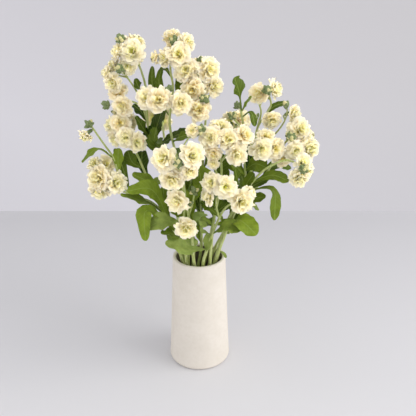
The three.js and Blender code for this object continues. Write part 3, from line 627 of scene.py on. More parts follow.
def piece(name, material, nodes, skins):
    """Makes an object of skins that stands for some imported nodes."""
    offsets = np.cumsum([0] + [len(points) for points, _, _ in skins[:-1]])
    points = np.concatenate([points for points, _, _ in skins])
    faces = [np.where(faces < 0, -1, faces + offset) for (_, faces, _), offset in zip(skins, offsets)]
    faces = np.concatenate(faces)
    is_corner = faces >= 0
    sizes = is_corner.sum(axis=1)
    mesh = bpy.data.meshes.new(name)
    mesh.vertices.add(len(points))
    mesh.vertices.foreach_set("co", points.ravel().astype(np.float32))
    mesh.loops.add(int(sizes.sum()))
    mesh.loops.foreach_set("vertex_index", faces[is_corner].astype(np.int32))
    mesh.polygons.add(len(faces))
    mesh.polygons.foreach_set("loop_start", (np.cumsum(sizes) - sizes).astype(np.int32))
    for key in skins[0][2]:
        values = np.concatenate([values[key] for _, _, values in skins]).astype(np.float32)
        mesh.attributes.new(key, "FLOAT", "POINT").data.foreach_set("value", values)
    mesh.update(calc_edges=True)
    mesh.set_sharp_from_angle(angle=np.radians(SHARP_EDGE))
    mesh.materials.append(material)
    made = bpy.data.objects.new(name, mesh)
    bpy.context.scene.collection.objects.link(made)
    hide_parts(*nodes)
    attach(made, "root")


# Materials


def new_material(name, constants):
    """A material whose Principled shader holds constants on its own sockets, as (material, tree, shader)."""
    material = bpy.data.materials.new(name)
    material.use_nodes = True
    tree = material.node_tree
    shader = tree.nodes["Principled BSDF"]
    for socket, value in constants.items():
        shader.inputs[socket].default_value = value
    return material, tree, shader


def add_node(tree, kind, inputs=(), out=0, **settings):
    """Adds a shader node with its settings, its inputs set to values or linked to outputs, and gives one of
    its outputs. A Mix node's colours are its inputs 6 and 7, and its output 2."""
    node = tree.nodes.new(f"ShaderNode{kind}")
    for name, value in settings.items():
        setattr(node, name, value)
    for key, value in dict(inputs).items():
        socket = node.inputs[key]
        if isinstance(value, bpy.types.NodeSocket):
            tree.links.new(value, socket)
        else:
            socket.default_value = (*value[:3], 1.0) if socket.type == "RGBA" else value
    return node.outputs[out]


def lay_over(tree, shader, base, layers):
    """Makes the shader's base colour: colours laid over a first one, each as far as its map range says."""
    for reach, laid_over in layers:
        factor = add_node(tree, "MapRange", reach)
        base = add_node(tree, "Mix", {0: factor, 6: base, 7: laid_over}, 2, data_type="RGBA")
    tree.links.new(base, shader.inputs["Base Color"])


def roughen(tree, shader, where, grain, detail, height, strength):
    """Gives the shader's surface a relief of noise, of one size of grain and one height."""
    noise = add_node(tree, "TexNoise", {"Vector": where, "Scale": 1 / grain, "Detail": detail})
    relief = add_node(tree, "Bump", {"Height": noise, "Distance": height, "Strength": strength})
    tree.links.new(relief, shader.inputs["Normal"])


def stoneware(look):
    """Matt, smooth-fired stoneware in warm white. The body is finely gritty, so it takes light softly and
    shows no reflection, and its colour drifts a little where the fire caught it. Its inside, from the lip
    down, is painted darker: painted shade for the shadow that falls in the vase."""
    material, tree, shader = new_material(
        "Matt warm-white stoneware", {"Roughness": 0.85, "IOR": 1.5, "Specular IOR Level": 0.3}
    )
    where = add_node(tree, "TexCoord", out="Object")
    layers = []
    for size, share_of_shade in ((25 * MM, 0.35), (5 * MM, 0.25)):  # fire marks, and spots in the clay
        noise = add_node(tree, "TexNoise", {"Vector": where, "Scale": 1 / size, "Detail": 3.0})
        reach = {"Value": noise, "From Min": 0.4, "From Max": 0.7, "To Max": share_of_shade}
        layers.append((reach, look.shade))
    # Painted shade: the whole inside, from the lip down, is laid over with the darker inside colour for the
    # shadow in it.
    inside = add_node(tree, "Attribute", out="Fac", attribute_name="inside")
    layers.append(({"Value": inside}, look.inside))
    lay_over(tree, shader, look.body, layers)
    # The grit is drawn as grains of 0.9 mm, coarser than real, so that it shows.
    roughen(tree, shader, where, grain=0.9 * MM, detail=6.0, height=0.25 * MM, strength=0.5)
    return material


def fresh_water():
    """Clear tap water: no colour of its own, IOR 1.33, mirror-smooth."""
    material, _, _ = new_material(
        "Clear water",
        {"Base Color": linear("#f2f7f5"), "Roughness": 0.02, "IOR": 1.33, "Transmission Weight": 1.0},
    )
    return material


def green_stem(look):
    """Fresh herbaceous stem: pale yellow-green with fine ribs along it, smooth but not glossy, and full of
    sap, so that light spreads a little inside it. Its calyxes are greyer, from fine down."""
    material, tree, shader = new_material(
        "Fresh pale green stem",
        {
            "Roughness": 0.5,
            "IOR": 1.4,
            "Subsurface Weight": 0.15,
            "Subsurface Radius": (0.6, 1.0, 0.3),
            "Subsurface Scale": 1.0 * MM,
        },
    )
    where = add_node(tree, "TexCoord", out="Object")
    # Ribs of 1.2 mm and down of 1.5 mm are coarser than real, so that they show. The ribs run up the stem:
    # their noise is drawn out twelve times along Z.
    lengthwise = add_node(tree, "Mapping", {"Vector": where, "Scale": (1, 1, 0.08)})
    ribs = add_node(tree, "TexNoise", {"Vector": lengthwise, "Scale": 1 / (1.2 * MM), "Detail": 3.0})
    streaks = add_node(tree, "MapRange", {"Value": ribs, "From Min": 0.35, "From Max": 0.65})
    down = add_node(tree, "TexNoise", {"Vector": where, "Scale": 1 / (1.5 * MM), "Detail": 3.0})
    is_calyx = add_node(tree, "Attribute", out="Fac", attribute_name="calyx")
    stem, calyx = [
        add_node(tree, "Mix", {0: factor, 6: light, 7: dark}, 2, data_type="RGBA")
        for factor, light, dark in ((streaks, look.light, look.dark), (down, look.calyx, look.calyx_dark))
    ]
    base = add_node(tree, "Mix", {0: is_calyx, 6: stem, 7: calyx}, 2, data_type="RGBA")
    tree.links.new(base, shader.inputs["Base Color"])
    return material


VEIN_SPACING = 5 * MM  # between the side veins of a leaf


def downy_leaf(look):
    """Fresh stock leaf: a thick matt blade with fine down, deep green where it is old and pale where it is
    young, and darker still as painted shade where it lies deep or far back in the bunch, with a paler
    midrib and side veins and a greyer underside. Light spreads in it a little."""
    material, tree, shader = new_material(
        "Fresh downy leaf",
        {
            "Roughness": 0.55,
            "IOR": 1.42,
            "Specular IOR Level": 0.25,
            "Subsurface Weight": 0.12,
            "Subsurface Radius": (0.5, 1.0, 0.2),
            "Subsurface Scale": 1.2 * MM,
        },
    )
    where = add_node(tree, "TexCoord", out="Object")
    across, along, lightness, under = [
        add_node(tree, "Attribute", out="Fac", attribute_name=name)
        for name in ("across", "along", "lightness", "under")
    ]
    distance = add_node(tree, "Math", {0: across}, operation="ABSOLUTE")
    # A side vein runs forwards and outwards from the midrib.
    forwards = add_node(tree, "Math", {0: along, 1: distance}, operation="SUBTRACT")
    phase = add_node(tree, "Math", {0: forwards, 1: 2 * np.pi / VEIN_SPACING}, operation="MULTIPLY")
    wave = add_node(tree, "Math", {0: phase}, operation="SINE")
    spots = add_node(tree, "TexNoise", {"Vector": where, "Scale": 1 / (9 * MM), "Detail": 3.0})
    layers = (
        ({"Value": lightness, "From Max": 0.6}, look.light),
        ({"Value": lightness, "From Min": 0.7, "From Max": 1.05}, look.pale),
        ({"Value": spots, "From Min": 0.35, "From Max": 0.65, "To Max": 0.35}, look.dark),
        ({"Value": wave, "From Min": 0.6, "To Max": 0.18}, look.vein),
        ({"Value": distance, "From Min": 0.9 * MM, "From Max": 0.2 * MM, "To Max": 0.6}, look.vein),
        ({"Value": under, "To Max": 0.5}, look.underside),
    )
    lay_over(tree, shader, look.dark, layers)
    # The blade's real puckers, between its veins, are 2 to 3 mm across.
    roughen(tree, shader, where, grain=2.5 * MM, detail=3.0, height=0.3 * MM, strength=0.5)
    return material


def downy_bud(look):
    """Closed stock bud: grey-green downy sepals with darker patches, and cream where the petals show at
    the tip. It is matt, and light spreads a little inside it."""
    material, tree, shader = new_material(
        "Downy grey-green bud",
        {
            "Roughness": 0.7,
            "Subsurface Weight": 0.15,
            "Subsurface Radius": (0.8, 1.0, 0.5),
            "Subsurface Scale": 1.0 * MM,
        },
    )
    where = add_node(tree, "TexCoord", out="Object")
    # Down in tufts of 1.8 mm is coarser than real, so that it shows.
    down = add_node(tree, "TexNoise", {"Vector": where, "Scale": 1 / (1.8 * MM), "Detail": 3.0})
    opening = add_node(tree, "Attribute", out="Fac", attribute_name="opening")
    layers = (
        ({"Value": down, "From Min": 0.3, "From Max": 0.7}, look.sepal_dark),
        ({"Value": opening, "From Min": 0.45, "From Max": 0.65}, look.petal),
    )
    lay_over(tree, shader, look.sepal, layers)
    return material


def double_petal(look):
    """Fresh double stock petal: soft and full of water, so light spreads one or two millimetres inside it
    and warms, which keeps the folds of a bloom bright. It is matt, ivory at the margin, cream towards the
    claw and yellow-green in the young middle of the bloom, with a peach flush in some blooms."""
    material, tree, shader = new_material(
        "Fresh cream petal",
        {
            "Roughness": 0.6,
            "IOR": 1.38,
            "Specular IOR Level": 0.25,
            "Subsurface Weight": 1.0,
            "Subsurface Radius": (1.0, 0.9, 0.6),
            "Subsurface Scale": 1.8 * MM,
            "Sheen Weight": 0.15,
            "Sheen Roughness": 0.5,
        },
    )
    shader.subsurface_method = "BURLEY"  # the one that doesn't darken where petals cross
    where = add_node(tree, "TexCoord", out="Object")
    along, depth, flush = [
        add_node(tree, "Attribute", out="Fac", attribute_name=name)
        for name in ("along", "depth", "flush")
    ]
    inwards = add_node(tree, "MapRange", {"Value": along, "From Min": 1.1, "From Max": 0.2})
    young = add_node(tree, "MapRange", {"Value": depth, "From Min": 0.25, "From Max": 0.85})
    young = add_node(tree, "Math", {0: young, 1: inwards}, operation="MULTIPLY")
    flushed = add_node(tree, "MapRange", {"Value": along, "From Min": 1.0, "From Max": 0.2})
    flushed = add_node(tree, "Math", {0: flushed, 1: flush}, operation="MULTIPLY")
    layers = (
        ({"Value": along, "From Min": 0.3, "From Max": 0.9}, look.ivory),
        ({"Value": young}, look.heart),
        ({"Value": along, "From Min": 0.5, "From Max": 0.0, "To Max": 0.9}, look.heart),
        ({"Value": flushed}, look.peach),
    )
    lay_over(tree, shader, look.cream, layers)
    # A petal's fine crinkles are 1 to 2 mm apart.
    roughen(tree, shader, where, grain=1.6 * MM, detail=3.0, height=0.2 * MM, strength=0.4)
    return material


TABLE_SHADE_SPAN = (-0.35, 0.45)  # metres behind the vase's middle, between which painted shade makes the table darker
WALL_SHADE_TOWARDS = (0.8, 0.0, 1.0)
WALL_SHADE_SPAN = (-0.6, 1.2)  # the same for the wall's painted shade, along that direction, which points to the right and the top


def table_laminate(look):
    """Matt white laminate: no pattern, with painted shade that makes it a little darker towards its far
    edge.
    """
    material, tree, shader = new_material(
        "Matt white laminate", {"Roughness": 0.8, "Specular IOR Level": 0.2}
    )
    where = add_node(tree, "TexCoord", out="Object")
    # Painted shade: the table is painted darker from near the vase towards its far edge.
    back = add_node(tree, "SeparateXYZ", {"Vector": where}, "Y")
    far = {"Value": back, "From Min": TABLE_SHADE_SPAN[0], "From Max": TABLE_SHADE_SPAN[1]}
    lay_over(tree, shader, look.table, [(far, look.table_far_shade)])
    return material


def wall_paint(look):
    """Matt emulsion paint: flat, with no sheen, with painted shade that makes it a little darker towards the
    right and the top.
    """
    material, tree, shader = new_material(
        "Matt wall emulsion", {"Roughness": 0.95, "Specular IOR Level": 0.1}
    )
    where = add_node(tree, "TexCoord", out="Object")
    # Painted shade: the wall is painted darker towards its right and top.
    both = {0: where, 1: WALL_SHADE_TOWARDS}
    slanted = add_node(tree, "VectorMath", both, "Value", operation="DOT_PRODUCT")
    dull = {"Value": slanted, "From Min": WALL_SHADE_SPAN[0], "From Max": WALL_SHADE_SPAN[1]}
    lay_over(tree, shader, look.wall, [(dull, look.wall_shade)])
    return material


# Sprays


def in_metres(points):
    """Points of the table as an array in metres."""
    return np.array(points, float) * MM


def in_vase(angle, height):
    """A point on the ring that the stems pass through."""
    return np.array([STANDING_RADIUS * np.cos(angle), STANDING_RADIUS * np.sin(angle), height])


STRAIGHT_POINTS = 60  # of a stem between the vase's floor and its mouth, before they are spread evenly
STEM_POINTS = 170
EASED_POINTS = 15  # that the running mean takes in
EASE = 16 * MM  # a stem bends over about this much above and below the mouth
THINNER_IN_MOUTH = 0.94  # a stem's radius there, as a share of that at its foot


def stem_line(spray):
    """A stem's centre line: straight from the vase's floor to its mouth, then the curve through the
    spray's points, with the corner in the mouth eased by a running mean."""
    in_mouth = np.radians(spray["standing"])
    foot = in_vase(in_mouth + np.radians(SPIRAL), FLOOR_THICKNESS + RESTING_GAP)
    mouth = in_vase(in_mouth, VASE_HEIGHT)
    straight = foot + (mouth - foot) * np.linspace(0, 1, STRAIGHT_POINTS, endpoint=False)[:, None]
    line = evenly(np.vstack([straight, spline(np.vstack([mouth, in_metres(spray["stem"])]))]), STEM_POINTS)
    ends = EASED_POINTS // 2
    wide = np.vstack([np.repeat(line[:1], ends, axis=0), line, np.repeat(line[-1:], ends, axis=0)])
    sums = np.cumsum(np.vstack([np.zeros(3), wide]), axis=0)
    eased = (sums[EASED_POINTS:] - sums[:-EASED_POINTS]) / EASED_POINTS
    near = np.exp(-(((line[:, 2] - VASE_HEIGHT) / EASE) ** 2))[:, None]
    return line * (1 - near) + eased * near


def growing_lines(spray):
    """The centre lines of a spray's stem and then of its shoots, from which its stalks and leaves grow."""
    return [stem_line(spray), *(spline(in_metres(points)) for points in spray["shoots"])]


def bloom_base(bloom):
    """A bloom's base, direction and radius."""
    x, y, z, diameter, turn, rise = bloom
    direction = facing(turn, rise)
    radius = diameter / 2 * MM
    return in_metres([x, y, z]) - FACE_HEIGHT * radius * direction, direction, radius


def ribbed(rings, depth, count):
    """Rings with ribs: each point is moved in or out by depth times its radius times cos(count a)."""
    n = rings.shape[1]
    centre = rings.mean(axis=1, keepdims=True)
    a = np.linspace(0, 2 * np.pi, n, endpoint=False)[None, :, None]
    return centre + (rings - centre) * (1 + depth * np.cos(count * a))


def stem_skins(lines, sizes):
    """A spray's stem and its shoots, thinning to their tips."""
    main, *shoots = lines
    mouth = np.argmin(np.abs(main[:, 2] - VASE_HEIGHT)) / (len(main) - 1)
    q = np.linspace(0, 1, len(main))
    radii = np.interp(q, [0, mouth, 1], [sizes.stem, THINNER_IN_MOUTH * sizes.stem, sizes.stem_tip])
    skins = [loft(ribbed(swept(main, radii, sides=16), depth=0.05, count=4)[None], calyx=0.0)]
    for line in shoots:
        radii = np.linspace(sizes.shoot, sizes.shoot_tip, len(line))
        skins.append(loft(swept(line, radii, sides=12)[None], calyx=0.0))
    return skins


CALYX_IN_BLOOM = 0.6 * MM  # how far the calyx reaches into the bloom's base
# A stalk and its calyx: ways along them, -1 to 0 for the stalk and 0 to 1 for the calyx, and the radius
# there, in radii of the stalk.
STALK_SHAPE = ((-1, -0.05, 0.12, 0.25, 0.6, 1), (1.0, 1.0, 1.7, 2.35, 2.3, 2.9))


def stalk_skin(places, bloom, sizes):
    """A flower stalk and its calyx as one tube. The stalk leaves the stem below the bloom, bends before
    the calyx, and the calyx leans halfway between the way up from the stem and the way the bloom looks."""
    base, direction, _ = bloom_base(bloom)
    top = base - CALYX_GAP * direction
    root = nearest(places, top - CALYX_LENGTH * direction - np.array([0, 0, STALK_DROP]))
    lean = unit(unit(top - root) + direction)
    foot = top - CALYX_LENGTH * lean
    bend = foot - STALK_BEND * np.linalg.norm(foot - root) * lean
    along_stalk, along_calyx = np.linspace(0, 1, 11)[:-1], np.linspace(0, 1, 9)
    stalk = bezier(root, bend, foot, along_stalk)
    calyx = bezier(foot, foot + CALYX_LENGTH / 2 * lean, base + CALYX_IN_BLOOM * direction, along_calyx)
    q = np.concatenate([along_stalk - 1, along_calyx])
    rings = swept(np.vstack([stalk, calyx]), sizes.stalk * np.interp(q, *STALK_SHAPE), sides=12)
    rings[q > 0.2] = ribbed(rings[q > 0.2], depth=0.07, count=4)
    return loft(rings[None], calyx=smooth((q + 0.05) / 0.2)[None, :, None])


# The rings of a bud cluster: how many buds, as a share of those in the table, how far they lean out, in
# radians, their size, and how far from the middle they stand, in bud lengths.
BUD_RINGS = ((1.0, 0.95, 0.95, 0.0), (0.8, 0.5, 0.9, 0.1), (1.2, 1.35, 0.65, 0.1))
MIDDLE_BUD = 1.1  # its size
BUD_RADIUS = 0.3  # in bud lengths
BUD_RIDGES, RIDGE_HEIGHT = 4, 0.08  # the ridges' height as a share of the radius
OPENING_BUDS = 0.3  # the share of buds whose petals show at the tip
SMALLEST_OPENING = 0.8  # smaller buds are all closed


def bud_skins(spray, rng):
    """A spray's buds: eggs pointed at both ends, with four ridges where the sepals meet. In a cluster one
    bud stands upright and the others lean out round it in rings."""
    bases, outs, lengths, openings = [], [], [], []
    for x, y, z, count, turn, rise in spray["buds"]:
        turn_up = upright(facing(turn, rise))
        buds = [(0, 0, MIDDLE_BUD, 0)]
        for share_of_count, lean, size, off in BUD_RINGS:
            ring = round(share_of_count * (count - 1))
            first = rng.uniform(0, 2 * np.pi)
            buds += [(first + 2 * np.pi * k / ring, lean, size, off) for k in range(ring)]
        for a, lean, size, off in buds:
            lean, a = lean + rng.uniform(-0.15, 0.15), a + rng.uniform(-0.25, 0.25)
            out = turn_up @ np.array([np.sin(lean) * np.cos(a), np.sin(lean) * np.sin(a), np.cos(lean)])
            bases.append(in_metres([x, y, z]) + off * BUD_LENGTH * out)
            outs.append(out)
            lengths.append(BUD_LENGTH * size * rng.uniform(0.88, 1.08))
            opens = rng.random() < OPENING_BUDS and size > SMALLEST_OPENING
            openings.append(rng.uniform(0.8, 1.0) if opens else 0.0)
    q = np.linspace(0.03, 0.97, 7)
    a = np.linspace(0, 2 * np.pi, 8, endpoint=False)
    ridges = 1 + RIDGE_HEIGHT * np.cos(BUD_RIDGES * a)
    radius = (BUD_RADIUS * np.sin(np.pi * q**0.9) ** 0.6)[:, None] * ridges
    egg = np.stack([radius * np.cos(a), radius * np.sin(a), (1.2 * q - 0.2)[:, None] + 0 * a], axis=-1)
    turns = np.stack([upright(out) for out in outs])
    rings = np.einsum("kab,mnb->kmna", turns, egg) * np.array(lengths)[:, None, None, None]
    rings = rings + np.array(bases)[:, None, None]
    opening = np.array(openings)[:, None, None] * q[None, :, None]
    return [loft(rings, opening=opening)]


LEAF_ALONG, LEAF_ACROSS = 27, 13  # points of a blade
LEAF_LINE_POINTS = 120  # from which the places of a blade's rows are read
WIDEST = 0.66  # where a blade stops widening, as a share of its length
FOOT_WIDTH, BLADE_WIDTH = 0.1, 1.2  # of a blade at its foot and where it is widest, in widths of the table
TIP_POWER = 2.4  # the higher, the rounder the tip; 2 is an ellipse
WIDTH_WAVE = 0.09  # how much wider and narrower the waves make a blade
WAVES = 0.215  # the length of half a wave of the margin, as a share of the leaf's
CRIMPS = 6.3  # short waves in the margin
RIB_WIDTH = 0.9 * MM  # from the middle of a midrib to where it is all but flat
RIB_AT_TIP = 0.2 * MM  # how far the midrib still stands out there
# How light a leaf is: by the height of its middle, in mm, so much less where that lies further back than
# SHADED_FROM, also in mm, and up to LIGHTNESS_VARIES more or less by chance. Low leaves are pale and young;
# the darkness of leaves higher up is partly their age and partly painted shade, and the step for leaves
# further back is painted shade.
LIGHTNESS_BY_HEIGHT = ((215, 250, 330), (0.9, 0.38, 0.34))
SHADED, SHADED_FROM = 0.25, 8
LIGHTNESS_VARIES = 0.25


def leaf_skin(root, leaf, roll, light, sizes, rng):
    """A leaf. Its blade widens smoothly to two thirds of its length and closes in a rounded tip. Across,
    it is folded up along the midrib. One margin rises as the other sinks, in waves that also widen and
    narrow it, and both are crimped by a short sine that grows with the cube of the way from the midrib."""
    _, middle, tip, width, *bare = leaf
    bare = bare[0] if bare else 0.0
    line = evenly(spline(np.vstack([root, in_metres([middle, tip])])), LEAF_LINE_POINTS)
    s = 1 - (1 - np.linspace(0, 1, LEAF_ALONG)) ** 1.6  # rows are closer together towards the tip
    ways = np.linspace(0, 1, LEAF_LINE_POINTS)
    centre = np.stack([np.interp(s, ways, line[:, k]) for k in range(3)], axis=1)
    along = unit(np.gradient(centre, s, axis=0))
    backwards = 1 if tip[1] * MM > FACES_BACK else -1
    towards = unit(np.array([0, backwards * LEAF_TILT, 1]))
    side = unit(np.cross(along, towards))
    side = side * np.cos(roll) + np.cross(along, side) * np.sin(roll)
    top = np.cross(side, along)
    half = width / 2 * MM
    blade = np.maximum(s - bare, 0) / (1 - bare)
    widening = FOOT_WIDTH + (BLADE_WIDTH - FOOT_WIDTH) * smooth(blade / WIDEST)
    past_widest = np.maximum(blade - WIDEST, 0) / (1 - WIDEST)
    closing = BLADE_WIDTH * np.maximum(1 - past_widest**TIP_POWER, 0.002) ** 0.5
    outline = half * np.where(blade < WIDEST, widening, closing)
    in_turn = -np.cos(np.pi * s / WAVES)
    u = np.linspace(1, -1, LEAF_ACROSS)
    x = (outline * (1 + WIDTH_WAVE * in_turn))[:, None] * u
    crimp = np.sin(2 * np.pi * (s[:, None] * CRIMPS + 0.23 * np.sign(u) + rng.random())) * np.abs(u) ** 3
    rise = sizes.fold * np.abs(x) + 2 * sizes.wave * (outline * in_turn)[:, None] * u * np.abs(u)
    rise = rise + sizes.crimp * outline[:, None] * crimp
    surface = centre[:, None] + side[:, None] * x[..., None] + top[:, None] * rise[..., None]
    rib = (sizes.rib * (1 - s) + RIB_AT_TIP)[:, None] * np.exp(-((x / RIB_WIDTH) ** 2))
    whole = np.linalg.norm(np.diff(line, axis=0), axis=1).sum()
    points, faces, values = shell(
        surface[None], sizes.blade + rib, across=x, along=(s * whole)[:, None], lightness=light, under=0.0
    )
    values["under"][LEAF_ALONG * LEAF_ACROSS :] = 1.0
    return points, faces, values


PETAL_GRIDS = ((7, 7), (7, 7), (6, 7), (6, 5), (5, 5), (5, 5))  # points along and across, for each whorl
LONGEST_PETAL = 1.15  # in radii of its bloom
PETAL_FOOT = 0.05  # how far from the axis a petal starts, in radii of its bloom
CLAW = 0.22  # the width of a petal's claw, as a share of the petal's
PETAL_WIDEST = 0.8  # where along a petal it is widest
TIP_NARROWS = 0.15  # how much narrower it is at its tip
TIP_ROUNDING = 0.2  # how far the margin's corners are drawn back, as a share of the petal's length
NOTCH_DEPTH, NOTCH_WIDTH = 0.08, 0.45  # the deepest notch, in petal lengths, and its width, in half widths
ANY_PHASE = 6.3  # radians, about a whole turn
CORE_HEIGHT, CORE_RADIUS = 0.72, 0.09  # of the closed petals in the middle, in radii of their bloom
# More peach in the folds of all of a head's blooms.
FLUSHED_HEADS = {"crown": 0.28, "front_centre": 0.1, "centre_right": 0.18}


def petals(whorl, radius, grid, sizes, rng):
    """The middle surfaces of one whorl of petals, about +Z. Down its middle a petal rises from the bloom's
    base and bends outwards, its rise changing with s to the power 1.3. Across, it widens from a narrow
    claw to a margin rounded like an ellipse, with a soft notch at the tip. It is cupped, tilted to one
    side, and ruffled by two sines that grow outwards."""
    k, (m, n) = whorl["petals"], grid
    s = np.linspace(0, 1, m)[None, :, None]
    round_u = np.linspace(np.pi / 2, -np.pi / 2, n)[None, None, :]
    u = np.sin(round_u)

    def draw(low, high):
        return rng.uniform(low, high, (k, 1, 1))

    rise = np.radians(whorl["foot"] + (whorl["tip"] - whorl["foot"]) * s**1.3 + draw(-14, 14))
    start = PETAL_FOOT * radius
    step = 1 / (m - 1)
    out, up = running_sum(np.cos(rise)), running_sum(np.sin(rise))
    reach = whorl["reach"] * radius * draw(0.8, 1.06)
    far = np.minimum((reach - start) / (out[:, -1:] * step), LONGEST_PETAL * radius)
    notch = draw(0.0, NOTCH_DEPTH) * np.exp(-((u / NOTCH_WIDTH) ** 2))
    rounding = s**2 * (TIP_ROUNDING * (1 - np.cos(round_u)) + notch)
    away = start + far * (out * step - rounding * np.cos(rise))
    height = far * (up * step - rounding * np.sin(rise))
    widest = whorl["half_width"] * radius * draw(0.8, 1.15)
    past_widest = np.maximum(s - PETAL_WIDEST, 0) / (1 - PETAL_WIDEST)
    wide = widest * (CLAW + (1 - CLAW) * smooth(s / PETAL_WIDEST)) * (1 - TIP_NARROWS * past_widest)
    x = wide * u * (1 + 0.12 * np.sin(s * 9 + draw(0, ANY_PHASE)))
    ruffle = 0.55 * np.sin(u * draw(3, 5) + s * draw(2, 5) + draw(0, ANY_PHASE))
    ruffle = ruffle + 0.45 * np.sin(u * draw(5, 7) + s * draw(3, 8) + draw(0, ANY_PHASE))
    depth = whorl["cup"] * wide * u**2 + sizes.ruffle * radius * s**1.5 * (0.35 + 0.65 * u**2) * ruffle
    depth = depth + x * np.tan(np.radians(draw(-32, 32))) * s
    a = np.radians(whorl["first"] + draw(-13, 13)) + (2 * np.pi * np.arange(k) / k)[:, None, None]
    away = away - depth * np.sin(rise)
    height = height + depth * np.cos(rise)
    return np.stack([away * np.cos(a) - x * np.sin(a), away * np.sin(a) + x * np.cos(a), height], axis=-1)


def bloom_skins(bloom, spin, flushed, sizes, rng):
    """A double bloom: whorls of petals about its axis, turned by spin, and a small egg of closed petals in
    the middle. About half of all blooms have some peach of their own besides that of their head."""
    base, direction, radius = bloom_base(bloom)
    turn = upright(direction) @ about_z(spin)
    flush = max(rng.uniform(-0.5, 0.6), 0) + flushed
    skins = []
    for i, (whorl, grid) in enumerate(zip(WHORLS, PETAL_GRIDS)):
        middle = petals(whorl, radius, grid, sizes, rng) @ turn.T + base
        along = np.linspace(0, 1, grid[0])[None, :, None]
        skins.append(shell(middle, sizes.petal, along=along, depth=i / (len(WHORLS) - 1), flush=flush))
    q = np.linspace(0.02, 0.98, 7)
    egg = CORE_RADIUS * radius * np.sin(np.pi * q) ** 0.6
    core = swept(np.outer(CORE_HEIGHT * radius * q, [0, 0, 1]), egg, sides=8)
    skins.append(loft((core @ turn.T + base)[None], along=0.35, depth=1.0, flush=flush))
    return skins


# Settings


class VaseSettings(bpy.types.PropertyGroup):
    """The thrown vase."""

    lip: length("Lip rounding", "Radius of the rounded rim", 1.9)
    body: colour("Body", "The fired body's colour", "#f0e9de")
    shade: colour("Drift", "The colour that the body drifts to in patches", "#e1d9cb")
    # Painted shade: the colour laid over the whole inside of the vase for the shadow in it.
    inside: colour("Inside", "The bare clay inside, dark from the water", "#7d7365")


class StemSettings(bpy.types.PropertyGroup):
    """The stems, shoots and stalks."""

    stem: length("Stem", "Radius of a stem at its cut end", 2.2)
    stem_tip: length("Stem tip", "Radius of a stem at its tip", 1.1)
    shoot: length("Shoot", "Radius of a shoot where it leaves the stem", 1.3)
    shoot_tip: length("Shoot tip", "Radius of a shoot at its tip", 0.9)
    stalk: length("Stalk", "Radius of a flower stalk", 0.95)
    light: colour("Light", "The lighter streaks of a stem", "#d2da9c")
    dark: colour("Dark", "The darker streaks of a stem", "#aebc62")
    calyx: colour("Calyx", "A calyx's lighter parts", "#8fa06a")
    calyx_dark: colour("Calyx shade", "A calyx's darker parts", "#63784c")


class LeafSettings(bpy.types.PropertyGroup):
    """The leaves."""

    blade: length("Blade", "Thickness of a leaf's blade", 0.6)
    rib: length("Midrib", "How far the midrib adds to that at the leaf's foot", 1.2)
    fold: share("Fold", "How steeply the halves of a blade rise from the midrib", 0.2)
    wave: share("Wave", "Height of the margin's long waves, as a share of the width", 0.09)
    crimp: share("Crimp", "Height of the margin's short waves, as a share of the half width", 0.07)
    dark: colour("Dark", "A dark leaf's upper side", "#2f4809")
    light: colour("Light", "A usual leaf's upper side", "#8aa02e")
    pale: colour("Pale", "The upper side of the palest leaves, low in the bunch", "#aebe70")
    vein: colour("Vein", "The midrib and side veins", "#93a850")
    underside: colour("Underside", "The grey-green of a leaf's underside", "#7c8f5c")


class BudSettings(bpy.types.PropertyGroup):
    """The buds."""

    sepal: colour("Sepal", "The sepals' lighter parts", "#9aa878")
    sepal_dark: colour("Sepal shade", "The sepals' darker parts", "#65783f")
    petal: colour("Petal", "The petals at an opening bud's tip", "#e9e2a4")


class BloomSettings(bpy.types.PropertyGroup):
    """The double blooms."""

    petal: length("Petal", "Thickness of a petal", 0.35)
    ruffle: share("Ruffle", "Height of the margin's ruffles, as a share of the bloom's radius", 0.2)
    ivory: colour("Ivory", "A petal's margin", "#f4eeda")
    cream: colour("Cream", "A petal's middle", "#f0e7bc")
    heart: colour("Heart", "The claws, and the young petals in the middle", "#dde35c")
    peach: colour("Peach", "The flush of some blooms", "#f2cc7c")


class StageSettings(bpy.types.PropertyGroup):
    """The table, the wall behind it and the light."""

    table: colour("Table", "The table's matt top near the viewer", "#e8e8eb")
    # Painted shade: the colour of the table's far edge, darker for the light falling off there.
    table_far_shade: colour("Table, far", "The table's top at its far edge, where it is duller", "#cbcbcf")
    wall: colour("Wall", "The wall behind the table, where it is brightest", "#dbdae0")
    # Painted shade: the colour of the wall's upper right, darker for the light falling off there.
    wall_shade: colour("Wall, dull", "The wall at its upper right, where it is duller", "#c6c5c8")
    key: FloatProperty(
        name="Window", description="Power of the soft light on the right", default=62.0, unit="POWER"
    )
    fill: FloatProperty(
        name="Fill", description="Strength of the light from all round", default=0.98, min=0.0
    )
    around: colour("Around", "The colour of the light from all round", "#f1f0f1")


class StockSettings(bpy.types.PropertyGroup):
    """All that a user can change."""

    vase: PointerProperty(type=VaseSettings)
    stems: PointerProperty(type=StemSettings)
    leaves: PointerProperty(type=LeafSettings)
    buds: PointerProperty(type=BudSettings)
    blooms: PointerProperty(type=BloomSettings)
    stage: PointerProperty(type=StageSettings)


# Operators

CAMERA_PLACE = (0.012, -0.655, 0.512)
CAMERA_TILT = 66.6  # degrees up from straight down
LENS, SENSOR = 47.6, 36  # mm
TABLE_SIDE = 2.0  # how far the table goes to each side and towards the viewer
TABLE_EDGE = 0.51  # its far edge, behind the vase
WALL_SIDE = 3.0
WALL_BEHIND = 1.4
WALL_FOOT, WALL_TOP = -1.0, 3.0
WINDOW_PLACE = np.array([3.0, -0.75, 2.3])
WINDOW_SIZE = 2.8
WINDOW_COLOUR = (1.0, 0.98, 0.955)
LIT_PLACE = np.array([0, 0, 0.2])  # which the window's light is aimed at


